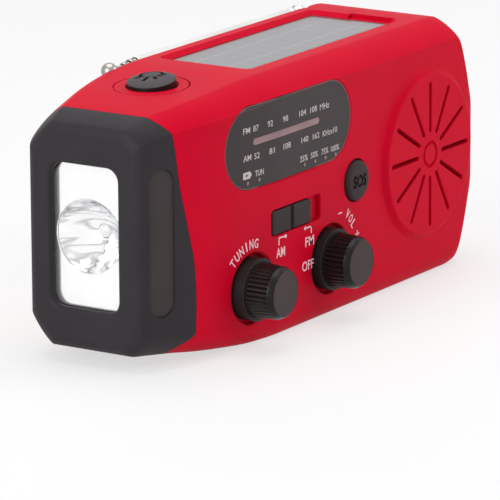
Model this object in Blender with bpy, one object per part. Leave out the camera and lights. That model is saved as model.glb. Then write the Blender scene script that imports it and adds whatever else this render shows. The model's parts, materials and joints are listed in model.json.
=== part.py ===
"""Hand-crank emergency radio with a solar panel, a torch and a speaker, built piece by piece.

Frame: origin at the middle of the flat base, +X to the speaker end, -X to the torch end,
-Y to the dial front and +Z up. Lengths are in metres. The crank stands lifted out of its bay.
"""

import math

import bmesh
import bpy
import numpy as np
from mathutils import Matrix, Vector

# Clearances shared by all pieces
GAP = 0.0003
OVERRUN = 0.002
SLIVER = 0.000002
REACH = 0.2

# Case: overall size, wall and the plane where the front and rear shells part
BODY_LENGTH = 0.1323
BODY_DEPTH = 0.04568
BODY_HEIGHT = 0.0592
WALL = 0.002
WALL_ROOT = 0.0016
PARTING_Y = 0.003

# Rows of the case along its length: place, front, back, bottom and top.
# Place is a share of the length, front and back of half the depth, bottom and top of the height.
BODY_SHARES = (
    (-0.500, 0.547, 0.547, 0.101, 0.878),
    (-0.494, 0.639, 0.630, 0.071, 0.912),
    (-0.484, 0.674, 0.666, 0.057, 0.927),
    (-0.454, 0.744, 0.727, 0.049, 0.948),
    (-0.407, 0.849, 0.832, 0.039, 0.963),
    (-0.355, 0.919, 0.911, 0.025, 0.975),
    (-0.295, 0.963, 0.963, 0.015, 0.983),
    (-0.227, 0.985, 0.990, 0.005, 0.993),
    (-0.151, 1.000, 1.000, 0.000, 1.000),
    (0.401, 1.000, 1.000, 0.000, 1.000),
    (0.435, 1.000, 1.000, 0.007, 0.993),
    (0.457, 1.000, 0.990, 0.030, 0.961),
    (0.4735, 0.994, 0.972, 0.068, 0.895),
    (0.4875, 0.963, 0.937, 0.135, 0.794),
    (0.495, 0.919, 0.902, 0.203, 0.718),
    (0.500, 0.845, 0.841, 0.287, 0.642),
)
# Corners front-top, back-top, back-bottom and front-bottom: share of the depth, share of the
# height and the power of their curve, near the torch and over the rest of the case
NOSE_CORNER_SHARES = (
    (0.148, 0.070, 1.3), (0.148, 0.070, 1.3), (0.145, 0.098, 1.3), (0.145, 0.098, 1.3),
)
BODY_CORNER_SHARES = (
    (0.160, 0.078, 1.3), (0.302, 0.405, 1.9), (0.219, 0.169, 1.6), (0.048, 0.068, 1.7),
)
CORNER_BLEND_SHARES = (-0.45, -0.22)
CORNER_STEPS = (3, 5, 3, 2)
# How much of an inset a corner's curve gives up
CORNER_INSET_SHARE = 0.6

# Rubber bumper: wall, and its rear edge as shares of the length and the height
BUMPER_WALL = 0.0018
BUMPER_EDGE_SHARES = (
    (-0.420, -0.100), (-0.419, 0.060), (-0.393, 0.118), (-0.391, 0.253), (-0.394, 0.372),
    (-0.408, 0.507), (-0.428, 0.676), (-0.443, 0.895), (-0.455, 0.963), (-0.455, 1.100),
)
BUMPER_EDGE_STEPS = 18

# Torch: window, housing, lens, reflector and lamp
WINDOW_WIDTH = 0.0176
WINDOW_HEIGHT = 0.0325
WINDOW_DROP = 0.00055
WINDOW_Z = BODY_HEIGHT / 2 - WINDOW_DROP
WINDOW_RADIUS = 0.003
LENS_RECESS = 0.0012
LENS_LIP = 0.0015
LENS_LIP_THICK = 0.0009
HOUSING_WALL = 0.0015
HOUSING_LENGTH = 0.01515
HOUSING_END_X = HOUSING_LENGTH - BODY_LENGTH / 2
REFLECTOR_PLATE = 0.001
REFLECTOR_MARGIN = 0.001
BOWL_RADIUS = 0.0086
BOWL_DEPTH = 0.0060
BOWL_WALL = 0.0008
BOWL_STEPS = 4
LAMP_RADIUS = 0.0025
LAMP_LENGTH = 0.0060
LAMP_BOARD_RADIUS = 0.007
LAMP_BOARD_THICK = 0.0012

# Dial window, its panel and the needle on its rail
DIAL_X = -0.01785
DIAL_DROP = 0.0136
DIAL_Z = BODY_HEIGHT - DIAL_DROP
DIAL_WIDTH = 0.0526
DIAL_HEIGHT = 0.0194
DIAL_RADIUS = 0.0085
DIAL_THICK = 0.0012
DIAL_LEDGE = 0.0015
DIAL_SLOT_RISE = 0.0009
DIAL_SLOT_Z = DIAL_Z + DIAL_SLOT_RISE
DIAL_SLOT_LENGTH = 0.0273
DIAL_SLOT_HEIGHT = 0.0018
NEEDLE_REST_X = -0.01816
NEEDLE_WIDTH = 0.001
NEEDLE_THICK = 0.0008
NEEDLE_LOW_Z = DIAL_Z - DIAL_HEIGHT / 4
NEEDLE_HIGH_Z = DIAL_Z + DIAL_HEIGHT / 4
NEEDLE_FOOT = 0.003
RAIL_RADIUS = 0.0007
RAIL_Z = NEEDLE_LOW_Z - NEEDLE_WIDTH / 2
RAIL_REACH = 0.0170
RAIL_END_XS = (NEEDLE_REST_X - RAIL_REACH, NEEDLE_REST_X + RAIL_REACH)
RAIL_BLOCK = 0.0032

# Tuning and volume knobs, their shafts and the parts that they turn
TUNING_X = -0.0327
VOLUME_X = -0.0004
KNOB_Z = 0.0134
KNOB_PROUD = 0.0083
KNOB_FACE_Y = -BODY_DEPTH / 2 - KNOB_PROUD
KNOB_FLANGE_RADIUS = 0.0072
KNOB_FLANGE_THICK = 0.0015
KNOB_BODY_RADIUS = 0.0066
KNOB_CAP_RADIUS = 0.0054
KNOB_CAP_BEVEL = 0.0012
KNOB_RIDGES = 30
KNOB_RIDGE_DEPTH = 0.0003
KNOB_RECESS_RADIUS = 0.0081
KNOB_RECESS_DEPTH = 0.0019
KNOB_RECESS_WALL = 0.0012
KNOB_SKIN = 0.0025
SHAFT_RADIUS = 0.0027
SHAFT_SOCKET = 0.0030
CAPACITOR_SIZE = 0.0160
CAPACITOR_RISE = 0.0020
CAPACITOR_DEPTH = 0.0086
POT_SIZE = 0.0120
POT_RISE = 0.0
POT_DEPTH = 0.0060

# Band switch
SWITCH_X = -0.0150
SWITCH_Z = 0.0266
SWITCH_WIDTH = 0.0206
SWITCH_HEIGHT = 0.0060
SWITCH_RECESS_DEPTH = 0.0012
SWITCH_RADIUS = 0.0006
SLIDER_LENGTH = 0.0160
SLIDER_PROUD = 0.0002
SLIDER_GROOVE = 0.0013
SLIDER_GROOVE_DEPTH = 0.0006
SLIDER_STEM_LENGTH = 0.003
SLIDER_STEM_HEIGHT = 0.003
SLIDER_TRAVEL = 0.0040
SWITCH_BODY_LENGTH = 0.013
SWITCH_BODY_HEIGHT = 0.0055

# Press buttons
SOS_X = 0.01015
SOS_Z = 0.0295
SOS_RADIUS = 0.0049
SOS_PROUD = 0.0009
BUTTON_X = -0.03885
BUTTON_RADIUS = 0.0055
BUTTON_PROUD = 0.0019
BUTTON_DOME_SHARE = 0.45
BUTTON_STEM_RADIUS = 0.0018
BUTTON_LIP_THICK = 0.0008
PRESS_TRAVEL = 0.0006
TACT_SIZE = 0.006
TACT_HEIGHT = 0.0035
BUTTON_BOARD_SIZE = 0.0080
BUTTON_BOARD_FRONT_Y = -0.0070
BUTTON_BOARD_BACK_Y = 0.0022
BUTTON_BOARD_POST = 0.0016

# Printed circuit board behind the dial
BOARD_THICK = 0.0016
BOARD_BEHIND_FRONT = 0.00824
BOARD_FRONT_Y = BOARD_BEHIND_FRONT - BODY_DEPTH / 2
BOARD_FROM_NOSE = 0.01765
BOARD_TOP_DROP = 0.0052
BOARD_LOW = (BOARD_FROM_NOSE - BODY_LENGTH / 2, 0.0050)
BOARD_HIGH = (0.0215, BODY_HEIGHT - BOARD_TOP_DROP)
STANDOFF_RADIUS = 0.0018
STANDOFFS = (
    (-0.0460, 0.0330), (0.0175, BOARD_HIGH[1] - 2 * STANDOFF_RADIUS), (0.0175, 0.0090), (-0.0165, 0.0080)
)

# Speaker and its raised grille disc
SPEAKER_FROM_END = 0.0238
SPEAKER_RISE = 0.0007
SPEAKER_X = BODY_LENGTH / 2 - SPEAKER_FROM_END
SPEAKER_Z = BODY_HEIGHT / 2 + SPEAKER_RISE
GRILLE_RADIUS = 0.0183
GRILLE_FOOT_RADIUS = 0.0198
GRILLE_RAISE = 0.0012
GRILLE_SLOTS = 12
SLOT_WIDTH = 0.0014
SLOT_INNER = 0.0053
SLOT_OUTER = 0.0167
SPEAKER_RADIUS = 0.0178
SPEAKER_RIM = 0.0018
SPEAKER_RIM_THICK = 0.0010
SPEAKER_DEPTH = 0.0085
MAGNET_RADIUS = 0.0085
MAGNET_THICK = 0.0035
CONE_WALL = 0.0004
CONE_CAP_RADIUS = 0.0050

# Solar panel in its frame, in a tub in the top
SOLAR_FROM_END = 0.0189
SOLAR_LENGTH = 0.0632
SOLAR_HIGH = (BODY_LENGTH / 2 - SOLAR_FROM_END, 0.0117)
SOLAR_LOW = (SOLAR_HIGH[0] - SOLAR_LENGTH, -0.0105)
SOLAR_RECESS = 0.0009
SOLAR_THICK = 0.0010
SOLAR_FRAME_DEPTH = 0.0024
SOLAR_FRAME_RIM = 0.0016
SOLAR_TUB_FLOOR = 0.0011
SOLAR_NOTCH = 0.0020
SOLAR_NOTCH_DEPTH = 0.0008

# Crank bay and finger scoop in the back
BAY_DEPTH = 0.00464
BAY_Y = BODY_DEPTH / 2 - BAY_DEPTH
BAY_TOP_Z = 0.0337
BAY_LIP_RISE = 0.0017
BAY_LEFT_X = -0.0302
SCOOP_X = 0.0335
SCOOP_LOW_Z = 0.0070
SCOOP_DEPTH = 0.0089
SCOOP_Y = BAY_Y - SCOOP_DEPTH
SCOOP_ROUND_SHARE = 0.25
SCOOP_STEPS = 6

# Folding crank: hub, hinge, arm and knob. FOLD is how far the arm stands out of the bay at rest.
HUB_X = -0.0145
HUB_Z = 0.0190
HUB_RADIUS = 0.0100
HUB_DISC_THICK = 0.0025
HUB_BEVEL = 0.0005
HINGE_OFFSET = 0.0050
HINGE_RISE = 0.0058
HINGE_Y = BAY_Y + HINGE_RISE
HINGE_PIN_RADIUS = 0.0011
HINGE_EYE_RADIUS = 0.0026
HINGE_EAR_WIDTH = 0.0030
HINGE_EYE_WIDTH = 0.0092
ARM_LENGTH = 0.0660
ARM_WIDTH = 0.0160
ARM_THICK = 0.0036
ARM_SINK = 0.0014
ARM_STEP = 0.0063
ARM_GROOVE_WIDTH = 0.0008
ARM_GROOVE_DEPTH = 0.0005
ARM_GROOVE_Z = 0.0040
FOLD_DEGREES = 28.0
KNOB_PIN_RADIUS = 0.0009
KNOB_EAR_WIDTH = 0.0032
GRIP_LENGTH = 0.0200
GRIP_TAIL = 0.0022
GRIP_THICK = 0.0085
GRIP_WIDTH = 0.0160
GRIP_TAPER_SHARE = 0.78
GRIP_BEVEL = 0.0012
GRIP_HOLLOW_WALL = 0.0018
GRIP_HOLLOW_DEPTH = 0.0130

# Gear train to the generator: teeth, module and the places of the axles
GEAR_MODULE = 0.0008
GEAR_BACKLASH = 0.0003
GEAR_ADDENDUM_SHARE = 0.80
GEAR_ROOT_SHARE = 1.15
PRESSURE_DEGREES = 24.0
FLANK_STEPS = 1
CRANK_TEETH = 30
IDLER_SMALL_TEETH = 12
IDLER_LARGE_TEETH = 28
ROTOR_TEETH = 10
IDLER_RISE_DEGREES = 27.0
ROTOR_DROP_DEGREES = -10.0
GEAR_THICK = 0.0022
GEAR_BEHIND_BAY = 0.0052
IDLER_STEP = 0.0030
GEAR_LAYER_Y = BAY_Y - GEAR_BEHIND_BAY
IDLER_LAYER_Y = GEAR_LAYER_Y - IDLER_STEP
CRANK_SHAFT_RADIUS = 0.0025
CRANK_SHAFT_DEPTH = 0.0013
IDLER_AXLE_RADIUS = 0.0015
ROTOR_SHAFT_RADIUS = 0.0010
PLATE_STEP = 0.0032
PLATE_THICK = 0.0016
PLATE_Y = IDLER_LAYER_Y - PLATE_STEP
PLATE_OUTLINE = (
    (-0.0285, 0.0085), (0.0175, 0.0065), (0.0215, 0.0130), (0.0285, 0.0250),
    (0.0285, 0.0352), (-0.0285, 0.0352),
)
PLATE_POSTS = ((-0.0255, 0.0325), (0.0140, 0.0100), (0.0255, 0.0325))
PLATE_POST_RADIUS = 0.0020
GENERATOR_RADIUS = 0.0105
GENERATOR_DEPTH = 0.0120

# Battery cell lying behind the board, and the saddles that hold it
BATTERY_RADIUS = 0.0091
BATTERY_LENGTH = 0.0650
BATTERY_FROM_END = 0.05365
BATTERY_DROP = 0.0143
BATTERY_X = BODY_LENGTH / 2 - BATTERY_FROM_END
BATTERY_Y = 0.0030
BATTERY_Z = BODY_HEIGHT - BATTERY_DROP
SADDLE_REACH = 0.0245
SADDLE_XS = (BATTERY_X - SADDLE_REACH, BATTERY_X + SADDLE_REACH)
SADDLE_THICK = 0.002
SADDLE_HALF_HEIGHT = 0.0060

# Ferrite rod aerial on two cradles
FERRITE_RADIUS = 0.0035
FERRITE_LENGTH = 0.0500
FERRITE_X = -0.001
FERRITE_Z = 0.0073
COIL_RADIUS = 0.0044
COIL_LENGTH = 0.0120
COIL_X = -0.0060
CRADLE_XS = (-0.0210, 0.0190)
CRADLE_THICK = 0.0020
CRADLE_HALF_WIDTH = 0.0022

# Ports of the speaker end, in one recess
PORT_LOW = (-0.0101, 0.0125)
PORT_HIGH = (0.0016, 0.0462)
PORT_RECESS = 0.0030
PORT_RADIUS = 0.0012
USB_Y = -0.0058
USB_Z = 0.0380
USB_WIDTH = 0.0068
USB_HEIGHT = 0.0142
USB_DEPTH = 0.0118
USB_SHELL = 0.0005
USB_TONGUE = 0.0016
USB_TONGUE_RECESS = 0.0015
CHARGE_Z = 0.0240
CHARGE_WIDTH = 0.0030
CHARGE_HEIGHT = 0.0080
CHARGE_DEPTH = 0.0060
JACK_Z = 0.0165
JACK_RADIUS = 0.0018
JACK_BODY = 0.0060
JACK_DEPTH = 0.0110
PORT_BOARD_FROM_END = 0.02115
PORT_BOARD_LOW = (BODY_LENGTH / 2 - PORT_BOARD_FROM_END, 0.0128)
PORT_BOARD_HIGH_Z = 0.0460
PORT_BOARD_THICK = 0.0012

# Wrist strap notch at the lower edge of the speaker end, with a bar across it
STRAP_LOW_Y = -0.0043
STRAP_HIGH_Y = 0.0024
STRAP_HEIGHT = 0.0070
STRAP_DEPTH = 0.0066
STRAP_BAR_RADIUS = 0.0009
STRAP_BAR_INSET = 0.0040
STRAP_BAR_Z = 0.0050

# Telescopic aerial along the top rear edge
AERIAL_FROM_END = 0.0160
AERIAL_FROM_BACK = 0.00564
AERIAL_DROP = 0.0012
AERIAL_X = BODY_LENGTH / 2 - AERIAL_FROM_END
AERIAL_Y = BODY_DEPTH / 2 - AERIAL_FROM_BACK
AERIAL_Z = BODY_HEIGHT - AERIAL_DROP
REBATE_WIDTH = 0.0028
REBATE_DROP = 0.0028
REBATE_PAST_PIVOT = 0.00565
REBATE_Y = AERIAL_Y - REBATE_WIDTH
REBATE_Z = AERIAL_Z - REBATE_DROP
REBATE_END_X = AERIAL_X + REBATE_PAST_PIVOT
TUBE_RADIUS = 0.0024
TUBE_STEP = 0.0004
TUBE_WALL = 0.0002
TUBE_LENGTH = 0.0690
TUBE_LIP = 0.0022
TUBE_START = 0.0034
TUBE_COUNT = 4
TIP_RADIUS = 0.0021
TIP_NECK = 0.0012
SWIVEL_RADIUS = 0.0021
SWIVEL_DEPTH = 0.0090
FORK_RADIUS = 0.0023
EAR_THICK = 0.0011
EYE_THICK = 0.0016
AERIAL_PIN_RADIUS = 0.0007
AERIAL_BOSS_RADIUS = 0.0042
AERIAL_BOSS_DEPTH = 0.0104

# Case screws from the back, in pairs of posts
SCREW_FROM_NOSE = 0.01995
SCREW_FROM_END = 0.00765
SCREW_NOSE_DROP = 0.0087
SCREW_END_DROP = 0.0082
SCREW_NOSE_Z = 0.0059
SCREW_FOOT = (0.0295, 0.0072)
SCREWS = (
    (SCREW_FROM_NOSE - BODY_LENGTH / 2, BODY_HEIGHT - SCREW_NOSE_DROP),
    (SCREW_FROM_NOSE - BODY_LENGTH / 2, SCREW_NOSE_Z),
    (BODY_LENGTH / 2 - SCREW_FROM_END, BODY_HEIGHT - SCREW_END_DROP),
    SCREW_FOOT,
)
SCREW_HEAD_RADIUS = 0.0024
SCREW_HEAD_THICK = 0.0016
SCREW_SHANK_RADIUS = 0.0011
SCREW_LENGTH = 0.0200
SCREW_BEHIND_BAY = 0.0062
SCREW_SEAT_Y = BAY_Y - SCREW_BEHIND_BAY
SCREW_BEVEL = 0.0006
FRONT_POST_RADIUS = 0.0029
REAR_POST_RADIUS = 0.0038

# Facets round the pieces, how flat two faces are that count as one, and which edges are sharp
FINE = 32
MIDDLE = 24
COARSE = 14
TINY = 8
FLAT_DEGREES = 0.2
SHARP_DEGREES = 30.0
BEVEL_DEGREES = 40.0

# Colours with roughness and metallic value
FINISHES = {
    "case_red": ((0.62, 0.010, 0.030), 0.45, 0.0),
    "rubber_black": ((0.022, 0.021, 0.022), 0.75, 0.0),
    "knob_black": ((0.018, 0.018, 0.019), 0.50, 0.0),
    "dial_brown": ((0.055, 0.043, 0.042), 0.30, 0.0),
    "clear": ((0.92, 0.94, 0.95), 0.05, 0.0),
    "mirror_chrome": ((0.90, 0.90, 0.90), 0.06, 1.0),
    "aerial_chrome": ((0.80, 0.80, 0.80), 0.15, 1.0),
    "steel": ((0.55, 0.55, 0.56), 0.35, 1.0),
    "solar_glass": ((0.030, 0.035, 0.060), 0.15, 0.0),
    "board_green": ((0.02, 0.12, 0.05), 0.55, 0.0),
    "white_plastic": ((0.75, 0.75, 0.72), 0.50, 0.0),
    "ferrite": ((0.05, 0.045, 0.045), 0.70, 0.0),
    "copper": ((0.60, 0.25, 0.10), 0.35, 1.0),
    "cone_paper": ((0.04, 0.04, 0.04), 0.85, 0.0),
    "cell_blue": ((0.04, 0.12, 0.40), 0.40, 0.0),
    "needle_orange": ((0.80, 0.20, 0.12), 0.50, 0.0),
}


def clear_scene():
    for obj in list(bpy.data.objects):
        bpy.data.objects.remove(obj, do_unlink=True)


def finish_of(name):
    """The Principled material of that name, made on first use."""
    made = bpy.data.materials.get(name)
    if made is None:
        colour, roughness, metallic = FINISHES[name]
        made = bpy.data.materials.new(name)
        made.use_nodes = True
        shader = made.node_tree.nodes["Principled BSDF"]
        shader.inputs["Base Color"].default_value = (*colour, 1.0)
        shader.inputs["Roughness"].default_value = roughness
        shader.inputs["Metallic"].default_value = metallic
    return made


def solid(name, points, faces):
    """A mesh object from points and faces, with its normals turned outwards."""
    mesh = bpy.data.meshes.new(name)
    mesh.from_pydata([tuple(point) for point in points], [], faces)
    edit = bmesh.new()
    edit.from_mesh(mesh)
    bmesh.ops.recalc_face_normals(edit, faces=edit.faces)
    edit.to_mesh(mesh)
    edit.free()
    made = bpy.data.objects.new(name, mesh)
    bpy.context.collection.objects.link(made)
    return made


def box(name, low, high):
    """A block between two corners."""
    (x0, y0, z0), (x1, y1, z1) = low, high
    outline = [(x0, y0), (x1, y0), (x1, y1), (x0, y1)]
    return prism(name, outline, "Z", z0, z1)


def in_plane(axis, u, v, along):
    """The point whose two coordinates across an axis are u and v, in the order of X, Y, Z."""
    return {"X": (along, u, v), "Y": (u, along, v), "Z": (u, v, along)}[axis]


def prism(name, outline, axis, low, high):
    """A closed outline carried along an axis from low to high."""
    count = len(outline)
    points = [in_plane(axis, u, v, at) for at in (low, high) for u, v in outline]
    faces = [list(range(count)), list(range(count, 2 * count))]
    for i in range(count):
        j = (i + 1) % count
        faces.append([i, j, count + j, count + i])
    return solid(name, points, faces)


def turned(name, profile, axis, centre, steps, closed=False):
    """A profile of (along, radius) pairs turned about an axis through a centre.

    An open profile starts and ends on the axis. A closed one makes a ring.
    """
    u0, v0 = centre
    points = []
    rings = []
    for along, radius in profile:
        turns = steps if radius > 0 else 1
        rings.append(range(len(points), len(points) + turns))
        for i in range(turns):
            angle = math.tau * i / steps
            u = u0 + radius * math.cos(angle)
            v = v0 + radius * math.sin(angle)
            points.append(in_plane(axis, u, v, along))
    faces = []
    pairs = list(zip(rings, rings[1:]))
    if closed:
        pairs.append((rings[-1], rings[0]))
    for ring, after in pairs:
        for i in range(steps):
            j = (i + 1) % steps
            face = [ring[i % len(ring)], ring[j % len(ring)]]
            face += [after[j % len(after)], after[i % len(after)]]
            faces.append(list(dict.fromkeys(face)))
    return solid(name, points, [face for face in faces if len(face) > 2])


def rod(name, axis, centre, radius, low, high, steps=COARSE):
    """A round bar along an axis."""
    profile = [(low, 0), (low, radius), (high, radius), (high, 0)]
    return turned(name, profile, axis, centre, steps)


def sleeve(name, axis, centre, inner, outer, low, high, steps=COARSE):
    """A round tube along an axis."""
    profile = [(low, inner), (low, outer), (high, outer), (high, inner)]
    return turned(name, profile, axis, centre, steps, closed=True)


def rounded(centre, width, height, radius, steps=5):
    """A rectangle's outline with round corners."""
    u0, v0 = centre
    outline = []
    for quarter, (su, sv) in enumerate(((1, 1), (-1, 1), (-1, -1), (1, -1))):
        cu = u0 + su * (width / 2 - radius)
        cv = v0 + sv * (height / 2 - radius)
        for i in range(steps + 1):
            angle = math.pi / 2 * (quarter + i / steps)
            outline.append((cu + radius * math.cos(angle), cv + radius * math.sin(angle)))
    return outline


def combine(target, tool, operation):
    """Applies a Boolean with another object, which is used up."""
    change = target.modifiers.new("combine", "BOOLEAN")
    change.operation = operation
    change.solver = "EXACT"
    change.object = tool
    graph = bpy.context.evaluated_depsgraph_get()
    mesh = bpy.data.meshes.new_from_object(target.evaluated_get(graph))
    target.modifiers.clear()
    target.data = mesh
    bpy.data.objects.remove(tool, do_unlink=True)
    edit = bmesh.new()
    edit.from_mesh(mesh)
    bmesh.ops.dissolve_degenerate(edit, dist=SLIVER, edges=edit.edges)
    edit.to_mesh(mesh)
    edit.free()
    return target


def cut(target, *tools):
    for tool in tools:
        combine(target, tool, "DIFFERENCE")
    return target


def join(target, *tools):
    for tool in tools:
        combine(target, tool, "UNION")
    return target


def common(target, *tools):
    for tool in tools:
        combine(target, tool, "INTERSECT")
    return target


def copied(source, name):
    """A second object with its own copy of a mesh."""
    made = bpy.data.objects.new(name, source.data.copy())
    bpy.context.collection.objects.link(made)
    return made


def softened(obj, width):
    """Bevels the object's sharp edges."""
    bevel = obj.modifiers.new("soften", "BEVEL")
    bevel.width = width
    bevel.segments = 1
    bevel.limit_method = "ANGLE"
    bevel.angle_limit = math.radians(BEVEL_DEGREES)
    graph = bpy.context.evaluated_depsgraph_get()
    mesh = bpy.data.meshes.new_from_object(obj.evaluated_get(graph))
    obj.modifiers.clear()
    obj.data = mesh
    return obj


def tidied(obj):
    """Joins the flat faces and straight edges that cuts have split."""
    edit = bmesh.new()
    edit.from_mesh(obj.data)
    bmesh.ops.dissolve_limit(
        edit, angle_limit=math.radians(FLAT_DEGREES), verts=edit.verts, edges=edit.edges,
    )
    bmesh.ops.triangulate(edit, faces=edit.faces)
    edit.to_mesh(obj.data)
    edit.free()


def finished(obj, finish, origin=(0, 0, 0)):
    """Gives a piece its material, smooth round faces and its origin, and returns it."""
    tidied(obj)
    obj.data.materials.clear()
    obj.data.materials.append(finish_of(finish))
    obj.data.shade_smooth()
    obj.data.set_sharp_from_angle(angle=math.radians(SHARP_DEGREES))
    obj.data.transform(Matrix.Translation(-Vector(origin)))
    obj.location = origin
    return obj


def through(rows, at):
    """Reads a table at one place, along a smooth curve that never overshoots its rows."""
    table = np.array(rows, dtype=float)
    places = table[:, 0]
    steps = np.diff(places)
    rises = np.diff(table[:, 1:], axis=0) / steps[:, None]
    slopes = np.zeros_like(table[:, 1:])
    slopes[0] = rises[0]
    slopes[-1] = rises[-1]
    for i in range(1, len(places) - 1):
        before, after = rises[i - 1], rises[i]
        same = before * after > 0
        near = 2 * steps[i] + steps[i - 1]
        far = steps[i] + 2 * steps[i - 1]
        with np.errstate(divide="ignore", invalid="ignore"):
            mean = (near + far) / (near / before + far / after)
        slopes[i] = np.where(same, mean, 0.0)
    i = int(np.clip(np.searchsorted(places, at) - 1, 0, len(places) - 2))
    width = steps[i]
    t = float(np.clip((at - places[i]) / width, 0.0, 1.0))
    low, high = table[i, 1:], table[i + 1, 1:]
    return (
        low * (1 + 2 * t) * (1 - t) ** 2
        + slopes[i] * width * t * (1 - t) ** 2
        + high * t * t * (3 - 2 * t)
        + slopes[i + 1] * width * t * t * (t - 1)
    )


def section(place_share, inset):
    """The case's outline across its length, as points, drawn in from the surface by an inset."""
    front, back, bottom, top = through(BODY_SHARES, place_share)
    half = BODY_DEPTH / 2
    y0, y1 = -front * half, back * half
    z0, z1 = bottom * BODY_HEIGHT, top * BODY_HEIGHT
    start, end = CORNER_BLEND_SHARES
    t = min(max((place_share - start) / (end - start), 0.0), 1.0)
    blend = t * t * (3 - 2 * t)
    x = place_share * (BODY_LENGTH - 2 * inset)
    sides = ((-1, 1), (1, 1), (1, -1), (-1, -1))
    points = []
    for corner, (sy, sz) in enumerate(sides):
        nose, body = NOSE_CORNER_SHARES[corner], BODY_CORNER_SHARES[corner]
        depth_share, height_share, power = (n + (b - n) * blend for n, b in zip(nose, body))
        across = max(depth_share * (y1 - y0) - CORNER_INSET_SHARE * inset, inset * CORNER_INSET_SHARE)
        upward = max(height_share * (z1 - z0) - CORNER_INSET_SHARE * inset, inset * CORNER_INSET_SHARE)
        cy = (y0 + inset + across) if sy < 0 else (y1 - inset - across)
        cz = (z0 + inset + upward) if sz < 0 else (z1 - inset - upward)
        steps = CORNER_STEPS[corner]
        order = range(steps + 1) if corner in (0, 2) else range(steps, -1, -1)
        for i in order:
            angle = math.pi / 2 * i / steps
            y = cy + sy * across * max(math.cos(angle), 0.0) ** (2 / power)
            z = cz + sz * upward * max(math.sin(angle), 0.0) ** (2 / power)
            points.append((x, y, z))
    return points


def case_loft(name, inset):
    """The closed form of the case, drawn in from its surface by an inset."""
    rows = [section(row[0], inset) for row in BODY_SHARES]
    count = len(rows[0])
    points = [point for row in rows for point in row]
    faces = [list(range(count)), list(range(len(points) - count, len(points)))]
    for row in range(len(rows) - 1):
        for i in range(count):
            j = (i + 1) % count
            a, b = row * count, (row + 1) * count
            faces += [[a + i, a + j, b + j], [a + i, b + j, b + i]]
    return solid(name, points, faces)


def within(obj):
    """Trims a piece that grows from a wall to half of the wall's thickness."""
    return common(obj, case_loft("inside", WALL / 2))


def front_y(x):
    """Where the case's front face lies at a place along its length."""
    return -through(BODY_SHARES, x / BODY_LENGTH)[0] * BODY_DEPTH / 2


def top_z(x):
    """Where the case's top lies at a place along its length."""
    return through(BODY_SHARES, x / BODY_LENGTH)[3] * BODY_HEIGHT


def skin(name, thick):
    """The outer layer of the case, of one thickness."""
    return cut(case_loft(name, 0.0), case_loft(name + "_core", thick))


def bumper_zone(name, shift):
    """Everything on the torch side of the bumper's rear edge, moved back by a shift."""
    edge = [(height, place) for place, height in BUMPER_EDGE_SHARES]
    low, high = edge[0][0], edge[-1][0]
    outline = [(-REACH, high * BODY_HEIGHT), (-REACH, low * BODY_HEIGHT)]
    for i in range(BUMPER_EDGE_STEPS + 1):
        height = low + (high - low) * i / BUMPER_EDGE_STEPS
        place = through(edge, height)[0]
        outline.append((place * BODY_LENGTH + shift, height * BODY_HEIGHT))
    return prism(name, outline, "Y", -REACH, REACH)


def window_outline(grow):
    width = WINDOW_WIDTH + 2 * grow
    height = WINDOW_HEIGHT + 2 * grow
    return rounded((0, WINDOW_Z), width, height, WINDOW_RADIUS + max(grow, 0))


def dial_outline(grow):
    width = DIAL_WIDTH + 2 * grow
    height = DIAL_HEIGHT + 2 * grow
    return rounded((DIAL_X, DIAL_Z), width, height, DIAL_RADIUS + grow, 6)


def scoop_outline(grow):
    """The finger scoop across the length: a pocket with round corners, deeper than the bay."""
    low = SCOOP_LOW_Z - grow
    high = BAY_TOP_Z + grow
    deep = SCOOP_Y - grow
    radius = (high - low) * SCOOP_ROUND_SHARE
    outline = []
    for i in range(SCOOP_STEPS + 1):
        angle = math.pi / 2 * i / SCOOP_STEPS
        y = BAY_Y - (BAY_Y - deep) * math.sin(angle)
        outline.append((y, low + radius * (1 - math.cos(angle))))
    for i in range(SCOOP_STEPS + 1):
        angle = math.pi / 2 * (1 - i / SCOOP_STEPS)
        y = BAY_Y - (BAY_Y - deep) * math.sin(angle)
        outline.append((y, high - radius * (1 - math.cos(angle))))
    outline.append((BODY_DEPTH, high))
    outline.append((BODY_DEPTH, low))
    return outline


def bay_outline(grow):
    """The crank bay across the length, under the cowl's sloped lip and open below."""
    floor = BAY_Y - grow
    lip = BODY_DEPTH
    rise = BAY_LIP_RISE * (lip - floor) / (BODY_DEPTH / 2 - BAY_Y)
    return [(floor, -REACH), (lip, -REACH), (lip, BAY_TOP_Z + grow + rise), (floor, BAY_TOP_Z + grow)]


def bay_cutter(name, grow):
    return prism(name, bay_outline(grow), "X", BAY_LEFT_X - grow, REACH)


def scoop_cutter(name, grow):
    return prism(name, scoop_outline(grow), "X", SCOOP_X - grow, REACH)


def rebate_cutter(name, grow):
    """The ledge for the aerial at the top rear edge, open upwards and to the back."""
    low = (-REACH, REBATE_Y - grow, REBATE_Z - grow)
    return box(name, low, (REBATE_END_X + grow, REACH, REACH))


def solar_tub(name, grow, floor_z):
    low = (SOLAR_LOW[0] - grow, SOLAR_LOW[1] - grow, floor_z)
    high = (SOLAR_HIGH[0] + grow, SOLAR_HIGH[1] + grow, REACH)
    return box(name, low, high)


def solar_floor_z():
    return BODY_HEIGHT - SOLAR_RECESS - SOLAR_FRAME_DEPTH - GAP


def port_pocket(name, grow):
    """The recess of the ports in the speaker end."""
    centre = ((PORT_LOW[0] + PORT_HIGH[0]) / 2, (PORT_LOW[1] + PORT_HIGH[1]) / 2)
    width = PORT_HIGH[0] - PORT_LOW[0] + 2 * grow
    height = PORT_HIGH[1] - PORT_LOW[1] + 2 * grow
    outline = rounded(centre, width, height, PORT_RADIUS + grow, 3)
    return prism(name, outline, "X", port_floor_x() - grow, REACH)


def port_floor_x():
    return BODY_LENGTH / 2 - PORT_RECESS


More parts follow.
